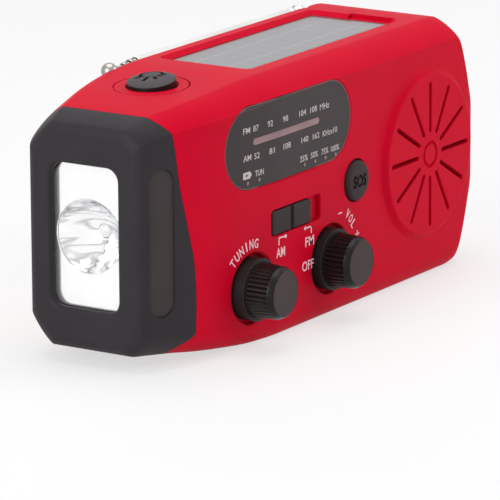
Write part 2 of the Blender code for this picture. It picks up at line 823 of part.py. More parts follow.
def cavity(name):
    """The hollow of the case: its inner form less the walls round every pocket."""
    hollow = case_loft(name, WALL)
    cut(hollow, bay_cutter("bay_wall", WALL), scoop_cutter("scoop_wall", WALL))
    cut(hollow, rebate_cutter("rebate_wall", WALL))
    cut(hollow, solar_tub("tub_wall", WALL, solar_floor_z() - SOLAR_TUB_FLOOR))
    cut(hollow, port_pocket("port_wall", WALL), strap_notch("strap_wall", WALL))
    return hollow


def strap_notch(name, grow):
    low = (BODY_LENGTH / 2 - STRAP_DEPTH - grow, STRAP_LOW_Y - grow, -REACH)
    return box(name, low, (REACH, STRAP_HIGH_Y + grow, STRAP_HEIGHT + grow))


def blank_case(name):
    """The case without its bumper zone, hollowed, with every pocket that crosses the parting."""
    case = cut(case_loft(name, 0.0), bumper_zone("nose_cut", GAP / 2), cavity("hollow"))
    cut(case, bay_cutter("bay", 0.0), scoop_cutter("scoop", 0.0), rebate_cutter("rebate", 0.0))
    cut(case, solar_tub("tub", 0.0, solar_floor_z()))
    cut(case, port_pocket("port_recess", 0.0))
    button = (BUTTON_X, 0)
    top = top_z(BUTTON_X)
    cut(case, rod("button_hole", "Z", button, BUTTON_RADIUS + GAP, top - WALL - OVERRUN, REACH, MIDDLE))
    return case


def half(case, name, side):
    """The part of the case on one side of the parting plane: -1 the front, 1 the rear."""
    edge = PARTING_Y + side * GAP / 2
    far = side * REACH
    low = (-REACH, min(edge, far), -REACH)
    high = (REACH, max(edge, far), REACH)
    return common(copied(case, name), box(name + "_side", low, high))


def grille_slot(name, index):
    """One radial slot of the speaker grille, round at both ends."""
    middle = (SLOT_INNER + SLOT_OUTER) / 2
    length = SLOT_OUTER - SLOT_INNER
    turn = math.tau * index / GRILLE_SLOTS
    outline = []
    for u, v in rounded((middle, 0), length, SLOT_WIDTH, SLOT_WIDTH / 2, 1):
        x = SPEAKER_X + u * math.cos(turn) - v * math.sin(turn)
        z = SPEAKER_Z + u * math.sin(turn) + v * math.cos(turn)
        outline.append((x, z))
    front = -BODY_DEPTH / 2
    return prism(name, outline, "Y", front - GRILLE_RAISE - OVERRUN, front + WALL + OVERRUN)


def front_shell(case):
    shell = half(case, "front_shell", -1)
    front = -BODY_DEPTH / 2
    raised = [
        (front - GRILLE_RAISE, 0), (front - GRILLE_RAISE, GRILLE_RADIUS),
        (front + GAP, GRILLE_FOOT_RADIUS), (front + WALL / 2, GRILLE_FOOT_RADIUS), (front + WALL / 2, 0),
    ]
    speaker = (SPEAKER_X, SPEAKER_Z)
    join(shell, turned("grille_disc", raised, "Y", speaker, FINE))
    for index in range(GRILLE_SLOTS):
        cut(shell, grille_slot("slot", index))
    seat = prism("dial_seat", dial_outline(GAP), "Y", -REACH, 0)
    cut(shell, cut(seat, case_loft("seat_floor", DIAL_THICK + GAP)))
    cut(shell, prism("dial_hole", dial_outline(-DIAL_LEDGE), "Y", -REACH, front + WALL + OVERRUN))
    for x in (TUNING_X, VOLUME_X):
        at = (x, KNOB_Z)
        recess = front_y(x) + KNOB_RECESS_DEPTH
        wall = KNOB_RECESS_RADIUS + KNOB_RECESS_WALL
        root = front_y(x) + WALL_ROOT
        join(shell, rod("recess_wall", "Y", at, wall, root, recess + KNOB_RECESS_WALL, MIDDLE))
        cut(shell, rod("recess", "Y", at, KNOB_RECESS_RADIUS, -REACH, recess, MIDDLE))
        end = recess + KNOB_RECESS_WALL + OVERRUN
        cut(shell, rod("shaft_hole", "Y", at, SHAFT_RADIUS + GAP, -REACH, end))
    switch = (SWITCH_X, SWITCH_Z)
    wide = rounded(switch, SWITCH_WIDTH, SWITCH_HEIGHT, SWITCH_RADIUS, 2)
    cut(shell, prism("switch_recess", wide, "Y", -REACH, front + SWITCH_RECESS_DEPTH))
    travel = SLIDER_STEM_LENGTH + SLIDER_TRAVEL + 2 * GAP
    slot = rounded(switch, travel, SLIDER_STEM_HEIGHT + 2 * GAP, SWITCH_RADIUS / 3, 2)
    cut(shell, prism("switch_slot", slot, "Y", -REACH, front + WALL + OVERRUN))
    hole = SOS_RADIUS + GAP
    cut(shell, rod("sos_hole", "Y", (SOS_X, SOS_Z), hole, -REACH, front + WALL + OVERRUN, MIDDLE))
    top = top_z(BUTTON_X)
    for x, z in STANDOFFS:
        start = front_y(x) + WALL_ROOT
        join(shell, rod("standoff", "Y", (x, z), STANDOFF_RADIUS, start, BOARD_FRONT_Y - GAP, TINY))
    for x, z in SCREWS:
        start = front_y(x) + WALL_ROOT
        post = rod("post", "Y", (x, z), FRONT_POST_RADIUS, start, PARTING_Y - GAP / 2)
        join(shell, within(post))
        end = SCREW_SEAT_Y - SCREW_LENGTH - GAP
        cut(shell, rod("bore", "Y", (x, z), SCREW_SHANK_RADIUS + GAP, end, PARTING_Y + OVERRUN, TINY))
    for x in CRADLE_XS:
        low = (x - CRADLE_THICK / 2, -CRADLE_HALF_WIDTH, WALL / 2)
        high = (x + CRADLE_THICK / 2, CRADLE_HALF_WIDTH, FERRITE_Z)
        cradle = box("cradle", low, high)
        join(shell, cut(cradle, rod("nest", "X", (0, FERRITE_Z), FERRITE_RADIUS + GAP, -REACH, REACH)))
    for side in (-1, 1):
        x = BUTTON_X + side * BUTTON_BOARD_SIZE / 2
        reach = BUTTON_BOARD_POST / 2
        low = (x - reach, BUTTON_BOARD_FRONT_Y, button_board_top_z() + GAP)
        high = (x + reach, BUTTON_BOARD_FRONT_Y + BUTTON_BOARD_POST, top - WALL / 2)
        join(shell, box("board_post", low, high))
    cut(shell, *port_holes())
    cut(shell, strap_notch("strap", 0.0))
    bar = (BODY_LENGTH / 2 - STRAP_BAR_INSET, STRAP_BAR_Z)
    low_y, high_y = STRAP_LOW_Y - WALL / 2, STRAP_HIGH_Y + GAP
    join(shell, rod("strap_bar", "Y", bar, STRAP_BAR_RADIUS, low_y, high_y, TINY))
    return finished(shell, "case_red")


def rear_shell(case):
    shell = half(case, "rear_shell", 1)
    hub = (HUB_X, HUB_Z)
    cut(shell, rod("crank_hole", "Y", hub, CRANK_SHAFT_RADIUS + GAP, BAY_Y - WALL - OVERRUN, REACH))
    for x, z in PLATE_POSTS:
        start = PLATE_Y + PLATE_THICK + GAP
        join(shell, rod("plate_post", "Y", (x, z), PLATE_POST_RADIUS, start, BAY_Y - WALL / 2, TINY))
    boss = rod(
        "idler_boss", "Y", idler_place(), IDLER_AXLE_RADIUS * 2, GEAR_LAYER_Y + GEAR_THICK + GAP,
        BAY_Y - WALL / 2, TINY,
    )
    join(shell, boss)
    low_y = GEAR_LAYER_Y + GEAR_THICK
    cut(shell, rod("idler_bore", "Y", idler_place(), IDLER_AXLE_RADIUS + GAP, low_y, BAY_Y - WALL / 4, TINY))
    for x in SADDLE_XS:
        low = (x - SADDLE_THICK / 2, BATTERY_Y, BATTERY_Z - SADDLE_HALF_HEIGHT)
        high = (x + SADDLE_THICK / 2, BAY_Y, BATTERY_Z + SADDLE_HALF_HEIGHT)
        saddle = box("saddle", low, high)
        nest = rod("nest", "X", (BATTERY_Y, BATTERY_Z), BATTERY_RADIUS + GAP, -REACH, REACH, MIDDLE)
        join(shell, cut(saddle, nest))
    aerial = (AERIAL_X, AERIAL_Y)
    low_z = REBATE_Z - AERIAL_BOSS_DEPTH
    join(shell, rod("aerial_boss", "Z", aerial, AERIAL_BOSS_RADIUS, low_z, REBATE_Z - WALL / 2))
    bottom = REBATE_Z - SWIVEL_DEPTH - GAP
    cut(shell, rod("aerial_bore", "Z", aerial, SWIVEL_RADIUS + GAP, bottom, REACH))
    for x, z in SCREWS:
        post = rod("post", "Y", (x, z), REAR_POST_RADIUS, PARTING_Y + GAP / 2, BAY_Y - WALL / 2)
        join(shell, within(post))
        cut(shell, rod("shank_hole", "Y", (x, z), SCREW_SHANK_RADIUS + GAP, 0, REACH, TINY))
        cut(shell, rod("head_well", "Y", (x, z), SCREW_HEAD_RADIUS + GAP, SCREW_SEAT_Y - GAP, REACH))
    return finished(shell, "case_red")


def bumper():
    cap = common(skin("bumper", BUMPER_WALL), bumper_zone("nose", -GAP / 2))
    cut(cap, prism("window", window_outline(0.0), "X", -REACH, HOUSING_END_X))
    return finished(cap, "rubber_black")


def housing_front_x():
    return -BODY_LENGTH / 2 + BUMPER_WALL + 2 * GAP


def torch_housing():
    inset = BUMPER_WALL + 2 * GAP
    housing = cut(case_loft("torch_housing", inset), case_loft("core", inset + HOUSING_WALL))
    low = (HOUSING_END_X, -REACH, -REACH)
    cut(housing, box("behind", low, (REACH, REACH, REACH)))
    cut(housing, rebate_cutter("rebate", WALL + GAP))
    seat = lens_back_x() - LENS_LIP_THICK - GAP
    end = lens_back_x() + REFLECTOR_PLATE + 2 * GAP
    cut(housing, prism("lip_seat", window_outline(LENS_LIP + GAP), "X", seat, end))
    cut(housing, prism("window", window_outline(0.0), "X", -REACH, HOUSING_END_X))
    return finished(housing, "rubber_black")


def lens_back_x():
    return housing_front_x() + HOUSING_WALL + GAP + LENS_LIP_THICK


def torch_lens():
    front = -BODY_LENGTH / 2 + LENS_RECESS
    lens = prism("torch_lens", window_outline(-GAP), "X", front, lens_back_x())
    lip = prism("lip", window_outline(LENS_LIP), "X", lens_back_x() - LENS_LIP_THICK, lens_back_x())
    return finished(join(lens, lip), "clear")


def bowl_profile(offset):
    """The reflector bowl from its rim to its throat, where depth grows with the square of the radius."""
    start = lens_back_x() + GAP + REFLECTOR_PLATE
    throat = LAMP_RADIUS + GAP
    points = []
    for i in range(BOWL_STEPS + 1):
        radius = BOWL_RADIUS + (throat - BOWL_RADIUS) * i / BOWL_STEPS
        depth = BOWL_DEPTH * (1 - (radius / BOWL_RADIUS) ** 2) / (1 - (throat / BOWL_RADIUS) ** 2)
        points.append((start + depth + offset, radius + offset))
    return points


def reflector():
    start = lens_back_x() + GAP
    plate = prism("reflector", window_outline(REFLECTOR_MARGIN), "X", start, start + REFLECTOR_PLATE)
    outer = bowl_profile(BOWL_WALL)
    outer[0] = (start + REFLECTOR_PLATE / 2, outer[0][1])
    inner = bowl_profile(0.0)
    inner[0] = (start + REFLECTOR_PLATE / 2, inner[0][1])
    inner[-1] = (outer[-1][0], inner[-1][1])
    centre = (0, WINDOW_Z)
    cut(plate, rod("mouth", "X", centre, BOWL_RADIUS, start - OVERRUN, start + OVERRUN))
    bowl = turned("bowl", inner + outer[::-1], "X", centre, COARSE, closed=True)
    return finished(join(plate, bowl), "mirror_chrome")


def lamp_board_x():
    return bowl_profile(BOWL_WALL)[-1][0] + GAP


def lamp():
    base = lamp_board_x() - GAP
    shoulder = base - LAMP_LENGTH + LAMP_RADIUS
    profile = [(base, 0), (base, LAMP_RADIUS)]
    for i in range(5):
        angle = math.pi / 2 * i / 4
        radius = LAMP_RADIUS * math.cos(angle) if i < 4 else 0
        profile.append((shoulder - LAMP_RADIUS * math.sin(angle), radius))
    return finished(turned("led", profile, "X", (0, WINDOW_Z), COARSE), "clear")


def lamp_board():
    start = lamp_board_x()
    board = rod("led_board", "X", (0, WINDOW_Z), LAMP_BOARD_RADIUS, start, start + LAMP_BOARD_THICK)
    return finished(board, "board_green")


def dial_slot(name, inset):
    """A bar through the dial's slot, smaller by inset on each side."""
    reach_x = DIAL_SLOT_LENGTH / 2 - inset
    reach_z = DIAL_SLOT_HEIGHT / 2 - inset
    low = (NEEDLE_REST_X - reach_x, -REACH, DIAL_SLOT_Z - reach_z)
    return box(name, low, (NEEDLE_REST_X + reach_x, 0, DIAL_SLOT_Z + reach_z))


def dial_pieces():
    panel = common(skin("dial_panel", DIAL_THICK), prism("a", dial_outline(0.0), "Y", -REACH, 0))
    cut(panel, dial_slot("slot", 0.0))
    window = common(skin("dial_window", DIAL_THICK), dial_slot("b", GAP))
    finished(window, "clear")
    finished(panel, "dial_brown")
    rail_y = BOARD_FRONT_Y - GAP - RAIL_BLOCK / 2
    rail = rod("pointer_rail", "X", (rail_y, RAIL_Z), RAIL_RADIUS, *RAIL_END_XS, steps=TINY)
    for x in RAIL_END_XS:
        reach = RAIL_BLOCK / 2
        low = (x - reach, rail_y - reach, RAIL_Z - reach)
        join(rail, box("rail_block", low, (x + reach, BOARD_FRONT_Y - GAP, RAIL_Z + reach)))
    finished(rail, "steel")
    front = -BODY_DEPTH / 2 + WALL + GAP
    x = NEEDLE_REST_X
    low = (x - NEEDLE_WIDTH / 2, front, NEEDLE_LOW_Z)
    needle = box("dial_pointer", low, (x + NEEDLE_WIDTH / 2, front + NEEDLE_THICK, NEEDLE_HIGH_Z))
    reach = RAIL_BLOCK / 2
    low = (x - NEEDLE_FOOT / 2, front, RAIL_Z - reach)
    join(needle, box("foot", low, (x + NEEDLE_FOOT / 2, rail_y + reach, RAIL_Z + reach)))
    cut(needle, rod("slide_bore", "X", (rail_y, RAIL_Z), RAIL_RADIUS + GAP, -REACH, REACH, TINY))
    finished(needle, "needle_orange", (x, rail_y, RAIL_Z))


def knob(name, x):
    """A ridged knob with a bevelled flat cap and a socket for its shaft."""
    centre = (x, KNOB_Z)
    back = front_y(x) + KNOB_RECESS_DEPTH - GAP
    flange_end = back - KNOB_FLANGE_THICK
    face = KNOB_FACE_Y
    shoulder = face + KNOB_CAP_BEVEL
    turns = KNOB_RIDGES * 2
    points = []
    rows = (
        (back, KNOB_FLANGE_RADIUS, 0.0), (flange_end, KNOB_FLANGE_RADIUS, 0.0),
        (flange_end - KNOB_CAP_BEVEL / 2, KNOB_BODY_RADIUS, KNOB_RIDGE_DEPTH),
        (shoulder, (KNOB_BODY_RADIUS + KNOB_CAP_RADIUS) / 2, KNOB_RIDGE_DEPTH),
        (face, KNOB_CAP_RADIUS - KNOB_CAP_BEVEL / 2, 0.0),
    )
    for y, radius, ridge in rows:
        for i in range(turns):
            angle = math.tau * i / turns
            r = radius + (ridge if i % 2 else -ridge)
            points.append((x + r * math.cos(angle), y, KNOB_Z + r * math.sin(angle)))
    faces = [list(range(turns)), list(range(len(points) - turns, len(points)))]
    for row in range(len(rows) - 1):
        for i in range(turns):
            j = (i + 1) % turns
            a, b = row * turns, (row + 1) * turns
            faces.append([a + i, a + j, b + j, b + i])
    made = solid(name, points, faces)
    cut(made, rod("socket", "Y", centre, SHAFT_SOCKET, face + KNOB_SKIN, back + OVERRUN))
    return finished(made, "knob_black", (x, back, KNOB_Z))


def knob_set(prefix, x, body_name, size, rise, depth):
    """A knob, its shaft and the square part behind the board that it turns."""
    knob(prefix + "_knob", x)
    centre = (x, KNOB_Z)
    body_front = BOARD_FRONT_Y + BOARD_THICK + GAP
    start = KNOB_FACE_Y + KNOB_SKIN + GAP
    end = body_front + depth / 2
    shaft = rod(prefix + "_shaft", "Y", centre, SHAFT_RADIUS, start, end)
    finished(shaft, "steel", (x, end, KNOB_Z))
    low = (x - size / 2, body_front, KNOB_Z + rise - size / 2)
    body = box(body_name, low, (x + size / 2, body_front + depth, KNOB_Z + rise + size / 2))
    cut(body, rod("bore", "Y", centre, SHAFT_SOCKET, body_front - OVERRUN, end + GAP))
    finished(body, "white_plastic")


def band_switch_pieces():
    front = -BODY_DEPTH / 2
    seat = front + SWITCH_RECESS_DEPTH - GAP
    face = front - SLIDER_PROUD
    x = SWITCH_X - SLIDER_TRAVEL / 2
    half_length = SLIDER_LENGTH / 2
    half_height = SWITCH_HEIGHT / 2 - GAP
    low = (x - half_length, face, SWITCH_Z - half_height)
    slider = box("band_slider", low, (x + half_length, seat, SWITCH_Z + half_height))
    reach = SLIDER_GROOVE / 2
    groove = [(x - reach, face - GAP), (x + reach, face - GAP), (x, face + SLIDER_GROOVE_DEPTH)]
    cut(slider, prism("groove", groove, "Z", -REACH, REACH))
    body_front = BOARD_FRONT_Y - GAP - SWITCH_BODY_HEIGHT * 0.8
    reach = (SLIDER_STEM_LENGTH / 2, SLIDER_STEM_HEIGHT / 2)
    low = (x - reach[0], seat - GAP, SWITCH_Z - reach[1])
    join(slider, box("stem", low, (x + reach[0], body_front + GAP * 4, SWITCH_Z + reach[1])))
    finished(slider, "knob_black", (x, front, SWITCH_Z))
    half_length, half_height = SWITCH_BODY_LENGTH / 2, SWITCH_BODY_HEIGHT / 2
    low = (SWITCH_X - half_length, body_front, SWITCH_Z - half_height)
    high = (SWITCH_X + half_length, BOARD_FRONT_Y - GAP, SWITCH_Z + half_height)
    body = box("band_switch", low, high)
    travel = (SLIDER_STEM_LENGTH + SLIDER_TRAVEL) / 2 + GAP
    low = (SWITCH_X - travel, body_front - OVERRUN, SWITCH_Z - reach[1] - GAP)
    cut(body, box("gate", low, (SWITCH_X + travel, body_front + GAP * 5, SWITCH_Z + reach[1] + GAP)))
    finished(body, "steel")


def sos_pieces():
    front = -BODY_DEPTH / 2
    switch_face = BOARD_FRONT_Y - GAP - TACT_HEIGHT
    back = front + WALL
    face = front - SOS_PROUD
    dome = SOS_PROUD * BUTTON_DOME_SHARE
    profile = [
        (face - dome, 0), (face - dome / 2, SOS_RADIUS / 2), (face, SOS_RADIUS - dome),
        (face + dome, SOS_RADIUS), (back, SOS_RADIUS),
        (back, BUTTON_STEM_RADIUS), (switch_face - PRESS_TRAVEL - GAP, BUTTON_STEM_RADIUS),
        (switch_face - PRESS_TRAVEL - GAP, 0),
    ]
    button = turned("sos_button", profile, "Y", (SOS_X, SOS_Z), MIDDLE)
    finished(button, "knob_black", (SOS_X, front, SOS_Z))
    reach = TACT_SIZE / 2
    low = (SOS_X - reach, switch_face, SOS_Z - reach)
    tact = box("sos_switch", low, (SOS_X + reach, BOARD_FRONT_Y - GAP, SOS_Z + reach))
    finished(tact, "steel")


def button_board_top_z():
    top = top_z(BUTTON_X)
    return top - WALL - BUTTON_LIP_THICK - PRESS_TRAVEL * 2 - TACT_HEIGHT - GAP * 2


def power_button_pieces():
    top = top_z(BUTTON_X)
    centre = (BUTTON_X, 0)
    crown = top + BUTTON_PROUD
    dome = BUTTON_PROUD * BUTTON_DOME_SHARE
    board = button_board_top_z()
    switch_top = board + GAP + TACT_HEIGHT
    profile = [
        (crown, 0), (crown - dome / 4, BUTTON_RADIUS / 2), (crown - dome, BUTTON_RADIUS - dome),
        (crown - dome * 2, BUTTON_RADIUS), (top - WALL, BUTTON_RADIUS),
        (top - WALL, BUTTON_STEM_RADIUS), (switch_top + PRESS_TRAVEL + GAP, BUTTON_STEM_RADIUS),
        (switch_top + PRESS_TRAVEL + GAP, 0),
    ]
    button = turned("power_button", profile, "Z", centre, MIDDLE)
    finished(button, "rubber_black", (BUTTON_X, 0, top))
    reach = TACT_SIZE / 2
    low = (BUTTON_X - reach, -reach, board + GAP)
    high = (BUTTON_X + reach, BUTTON_BOARD_BACK_Y, switch_top)
    finished(box("power_switch", low, high), "steel")
    reach = BUTTON_BOARD_SIZE / 2
    low = (BUTTON_X - reach, BUTTON_BOARD_FRONT_Y, board - BOARD_THICK)
    finished(box("button_board", low, (BUTTON_X + reach, BUTTON_BOARD_BACK_Y, board)), "board_green")


def main_board():
    (x0, z0), (x1, z1) = BOARD_LOW, BOARD_HIGH
    back = BOARD_FRONT_Y + BOARD_THICK
    board = box("main_pcb", (x0, BOARD_FRONT_Y, z0), (x1, back, z1))
    for x, z in SCREWS:
        if x0 < x < x1:
            cut(board, rod("notch", "Y", (x, z), FRONT_POST_RADIUS + GAP, -REACH, REACH))
    for x in (TUNING_X, VOLUME_X):
        cut(board, rod("shaft_hole", "Y", (x, KNOB_Z), SHAFT_RADIUS + GAP, -REACH, REACH))
    finished(board, "board_green")


def speaker_pieces():
    centre = (SPEAKER_X, SPEAKER_Z)
    front = -BODY_DEPTH / 2 + WALL + GAP * 1.5
    back = front + SPEAKER_DEPTH
    wall = SPEAKER_RIM_THICK
    rim = SPEAKER_RADIUS - SPEAKER_RIM
    profile = [
        (front, rim), (front, SPEAKER_RADIUS), (front + wall, SPEAKER_RADIUS),
        (front + wall * 2, rim), (back, MAGNET_RADIUS + wall), (back + wall, MAGNET_RADIUS + wall),
        (back + wall, MAGNET_RADIUS / 2), (back, MAGNET_RADIUS / 2), (back - wall / 2, MAGNET_RADIUS),
        (front + wall * 2, rim - wall),
    ]
    basket = turned("speaker_basket", profile, "Y", centre, COARSE, closed=True)
    finished(basket, "steel")
    start = back + wall + GAP
    magnet = rod("speaker_magnet", "Y", centre, MAGNET_RADIUS, start, start + MAGNET_THICK)
    neck = rod("pole", "Y", centre, MAGNET_RADIUS / 2 - GAP, back - wall, start + GAP)
    finished(join(magnet, neck), "ferrite")
    cup = CONE_CAP_RADIUS
    low = front + wall
    deep = back - wall * 2 - GAP
    outer = rim - wall - GAP
    profile = [
        (low, outer), (low + CONE_WALL, outer), (deep + CONE_WALL, cup), (deep + CONE_WALL, 0),
        (deep, 0), (deep - cup / 3, cup / 2), (deep, cup),
    ]
    cone = turned("speaker_cone", profile, "Y", centre, COARSE, closed=True)
    finished(cone, "cone_paper")


def solar_pieces():
    (x0, y0), (x1, y1) = SOLAR_LOW, SOLAR_HIGH
    top = BODY_HEIGHT - SOLAR_RECESS
    bottom = top - SOLAR_FRAME_DEPTH
    frame = box("solar_frame", (x0 + GAP, y0 + GAP, bottom), (x1 - GAP, y1 - GAP, top + GAP))
    rim = SOLAR_FRAME_RIM
    seat = top - SOLAR_THICK - GAP
    low = (x0 + rim, y0 + rim, seat)
    cut(frame, box("seat", low, (x1 - rim, y1 - rim, REACH)))
    middle = (y0 + y1) / 2
    for x in (x0, x1):
        low = (x - SOLAR_NOTCH_DEPTH, middle - SOLAR_NOTCH, -REACH)
        cut(frame, box("notch", low, (x + SOLAR_NOTCH_DEPTH, middle + SOLAR_NOTCH, REACH)))
    finished(frame, "knob_black")
    low = (x0 + rim + GAP, y0 + rim + GAP, seat + GAP)
    finished(box("solar_panel", low, (x1 - rim - GAP, y1 - rim - GAP, top)), "solar_glass")


def port_holes():
    """The holes in the recess floor that the three sockets show through."""
    floor = port_floor_x()
    low_x, high_x = floor - WALL - OVERRUN, floor + OVERRUN
    usb = rounded((USB_Y, USB_Z), USB_WIDTH + 2 * GAP, USB_HEIGHT + 2 * GAP, USB_SHELL + GAP, 2)
    charge = rounded((USB_Y, CHARGE_Z), CHARGE_WIDTH + 2 * GAP, CHARGE_HEIGHT + 2 * GAP, USB_SHELL + GAP, 2)
    return [
        prism("usb_hole", usb, "X", low_x, high_x),
        prism("charge_hole", charge, "X", low_x, high_x),
        rod("jack_hole", "X", (USB_Y, JACK_Z), JACK_RADIUS + GAP, low_x, high_x, COARSE),
    ]


def metal_socket(name, z, width, height, depth, tongue):
    """A sheet metal socket, open at the end face, with a flat tongue inside."""
    mouth = port_floor_x()
    outer = rounded((USB_Y, z), width, height, USB_SHELL, 2)
    inner = rounded((USB_Y, z), width - 2 * USB_SHELL, height - 2 * USB_SHELL, USB_SHELL / 2, 2)
    shell = prism(name, outer, "X", mouth - depth, mouth)
    cut(shell, prism("mouth", inner, "X", mouth - depth + USB_SHELL * 2, mouth + OVERRUN))
    low_y = USB_Y - tongue / 2
    reach = height / 2 - USB_SHELL * 3
    low = (mouth - depth + USB_SHELL, low_y, z - reach)
    join(shell, box("tongue", low, (mouth - USB_TONGUE_RECESS, low_y + tongue, z + reach)))
    return finished(shell, "steel")


def port_board_y():
    return USB_Y + USB_WIDTH / 2 + GAP


def port_pieces():
    metal_socket("usb_socket", USB_Z, USB_WIDTH, USB_HEIGHT, USB_DEPTH, USB_TONGUE)
    metal_socket("charge_socket", CHARGE_Z, CHARGE_WIDTH, CHARGE_HEIGHT, CHARGE_DEPTH, USB_SHELL * 2)
    floor = port_floor_x()
    wall = floor - WALL - GAP
    reach = JACK_BODY / 2
    low = (wall - JACK_DEPTH, USB_Y - reach, JACK_Z - reach)
    jack = box("jack_socket", low, (wall, port_board_y() - GAP, JACK_Z + reach))
    nose = rod("nose", "X", (USB_Y, JACK_Z), JACK_RADIUS, wall - GAP, floor - GAP)
    join(jack, nose)
    bore = JACK_RADIUS - USB_SHELL
    cut(jack, rod("bore", "X", (USB_Y, JACK_Z), bore, wall - JACK_DEPTH * 0.9, REACH))
    finished(jack, "knob_black")
    x0, z0 = PORT_BOARD_LOW
    y = port_board_y()
    low = (x0, y, z0)
    board = box("port_board", low, (wall, y + PORT_BOARD_THICK, PORT_BOARD_HIGH_Z))
    feet_low = USB_Y + CHARGE_WIDTH / 2 + GAP
    foot_x = wall - CHARGE_DEPTH / 2
    reach = CHARGE_HEIGHT / 2
    low = (foot_x - reach / 2, feet_low, CHARGE_Z - reach)
    join(board, box("riser", low, (foot_x + reach / 4, y + GAP, CHARGE_Z + reach)))
    finished(board, "board_green")


def battery_piece():
    reach = BATTERY_LENGTH / 2
    step = BATTERY_RADIUS / 6
    tip = BATTERY_RADIUS / 3
    profile = [
        (BATTERY_X - reach, 0), (BATTERY_X - reach, BATTERY_RADIUS - step / 2),
        (BATTERY_X - reach + step / 2, BATTERY_RADIUS), (BATTERY_X + reach - step, BATTERY_RADIUS),
        (BATTERY_X + reach - step / 2, BATTERY_RADIUS - step / 2), (BATTERY_X + reach - step / 2, tip),
        (BATTERY_X + reach, tip), (BATTERY_X + reach, 0),
    ]
    cell = turned("battery", profile, "X", (BATTERY_Y, BATTERY_Z), COARSE)
    finished(cell, "cell_blue")


def ferrite_pieces():
    centre = (0, FERRITE_Z)
    reach = FERRITE_LENGTH / 2
    bar = rod("ferrite_rod", "X", centre, FERRITE_RADIUS, FERRITE_X - reach, FERRITE_X + reach)
    finished(bar, "ferrite")
    reach = COIL_LENGTH / 2
    coil = sleeve(
        "ferrite_coil", "X", centre, FERRITE_RADIUS + GAP, COIL_RADIUS, COIL_X - reach, COIL_X + reach,
    )
    finished(coil, "copper")


def idler_place():
    """The idler's axle, a pitch radius of each gear away from the hub."""
    distance = GEAR_MODULE * (CRANK_TEETH + IDLER_SMALL_TEETH) / 2
    rise = math.radians(IDLER_RISE_DEGREES)
    return (HUB_X + distance * math.cos(rise), HUB_Z + distance * math.sin(rise))


def rotor_place():
    """The generator's shaft, in mesh with the idler's large gear."""
    distance = GEAR_MODULE * (IDLER_LARGE_TEETH + ROTOR_TEETH) / 2
    drop = math.radians(ROTOR_DROP_DEGREES)
    x, z = idler_place()
    return (x + distance * math.cos(drop), z + distance * math.sin(drop))


def gear_outline(centre, teeth, phase):
    """Involute teeth round a centre, the first tooth's middle at the phase angle."""
    pitch = GEAR_MODULE * teeth / 2
    pressure = math.radians(PRESSURE_DEGREES)
    base = pitch * math.cos(pressure)
    tip = pitch + GEAR_MODULE * GEAR_ADDENDUM_SHARE
    root = pitch - GEAR_MODULE * GEAR_ROOT_SHARE
    start = max(base, root)

    def half_angle(radius):
        slant = math.acos(min(base / radius, 1.0))
        at_pitch = math.pi / (2 * teeth) - GEAR_BACKLASH / (4 * pitch) + math.tan(pressure) - pressure
        return at_pitch - (math.tan(slant) - slant)

    radii = [start + (tip - start) * i / FLANK_STEPS for i in range(FLANK_STEPS + 1)]
    flank = [(radius, half_angle(radius)) for radius in radii]
    if start > root:
        flank.insert(0, (root, half_angle(start)))
    outline = []
    for tooth in range(teeth):
        middle = phase + math.tau * tooth / teeth
        for radius, angle in flank:
            outline.append((radius, middle - angle))
        for radius, angle in reversed(flank):
            outline.append((radius, middle + angle))
    x, z = centre
    return [(x + radius * math.cos(angle), z + radius * math.sin(angle)) for radius, angle in outline]


def gear_train():
    hub, idler, rotor = (HUB_X, HUB_Z), idler_place(), rotor_place()
    rise = math.radians(IDLER_RISE_DEGREES)
    drop = math.radians(ROTOR_DROP_DEGREES)
    layer, thick = GEAR_LAYER_Y, GEAR_THICK
    crank = prism("crank_gear", gear_outline(hub, CRANK_TEETH, rise), "Y", layer, layer + thick)
    cut(crank, rod("bore", "Y", hub, CRANK_SHAFT_RADIUS + GAP, -REACH, REACH))
    finished(crank, "white_plastic", (HUB_X, layer, HUB_Z))
    small_phase = rise + math.pi + math.pi / IDLER_SMALL_TEETH
    small = gear_outline(idler, IDLER_SMALL_TEETH, small_phase)
    gear = prism("idler_gear", small, "Y", IDLER_LAYER_Y + thick / 2, layer + thick)
    large = gear_outline(idler, IDLER_LARGE_TEETH, drop)
    join(gear, prism("large", large, "Y", IDLER_LAYER_Y, IDLER_LAYER_Y + thick))
    cut(gear, rod("bore", "Y", idler, IDLER_AXLE_RADIUS + GAP, -REACH, REACH, TINY))
    finished(gear, "white_plastic", (idler[0], layer, idler[1]))
    axle = rod("idler_axle", "Y", idler, IDLER_AXLE_RADIUS, PLATE_Y, layer + thick + WALL / 2, TINY)
    finished(axle, "steel")
    rotor_phase = drop + math.pi + math.pi / ROTOR_TEETH
    pinion = prism(
        "generator_rotor", gear_outline(rotor, ROTOR_TEETH, rotor_phase), "Y",
        IDLER_LAYER_Y - thick / 4, IDLER_LAYER_Y + thick * 1.25,
    )
    end = PLATE_Y - GAP - GENERATOR_DEPTH / 2
    join(pinion, rod("rotor_shaft", "Y", rotor, ROTOR_SHAFT_RADIUS, end, IDLER_LAYER_Y + thick, TINY))
    finished(pinion, "steel", (rotor[0], end, rotor[1]))
    back = PLATE_Y - GAP
    body = rod("generator_body", "Y", rotor, GENERATOR_RADIUS, back - GENERATOR_DEPTH, back)
    cut(body, rod("bore", "Y", rotor, ROTOR_SHAFT_RADIUS + GAP, end - GAP, back + OVERRUN, TINY))
    finished(softened(body, GAP), "steel")
    plate = prism("gear_plate", list(PLATE_OUTLINE), "Y", PLATE_Y, PLATE_Y + PLATE_THICK)
    bores = ((hub, CRANK_SHAFT_RADIUS), (idler, IDLER_AXLE_RADIUS), (rotor, ROTOR_SHAFT_RADIUS))
    for centre, radius in bores:
        cut(plate, rod("bore", "Y", centre, radius + GAP, -REACH, REACH))
    finished(plate, "steel")


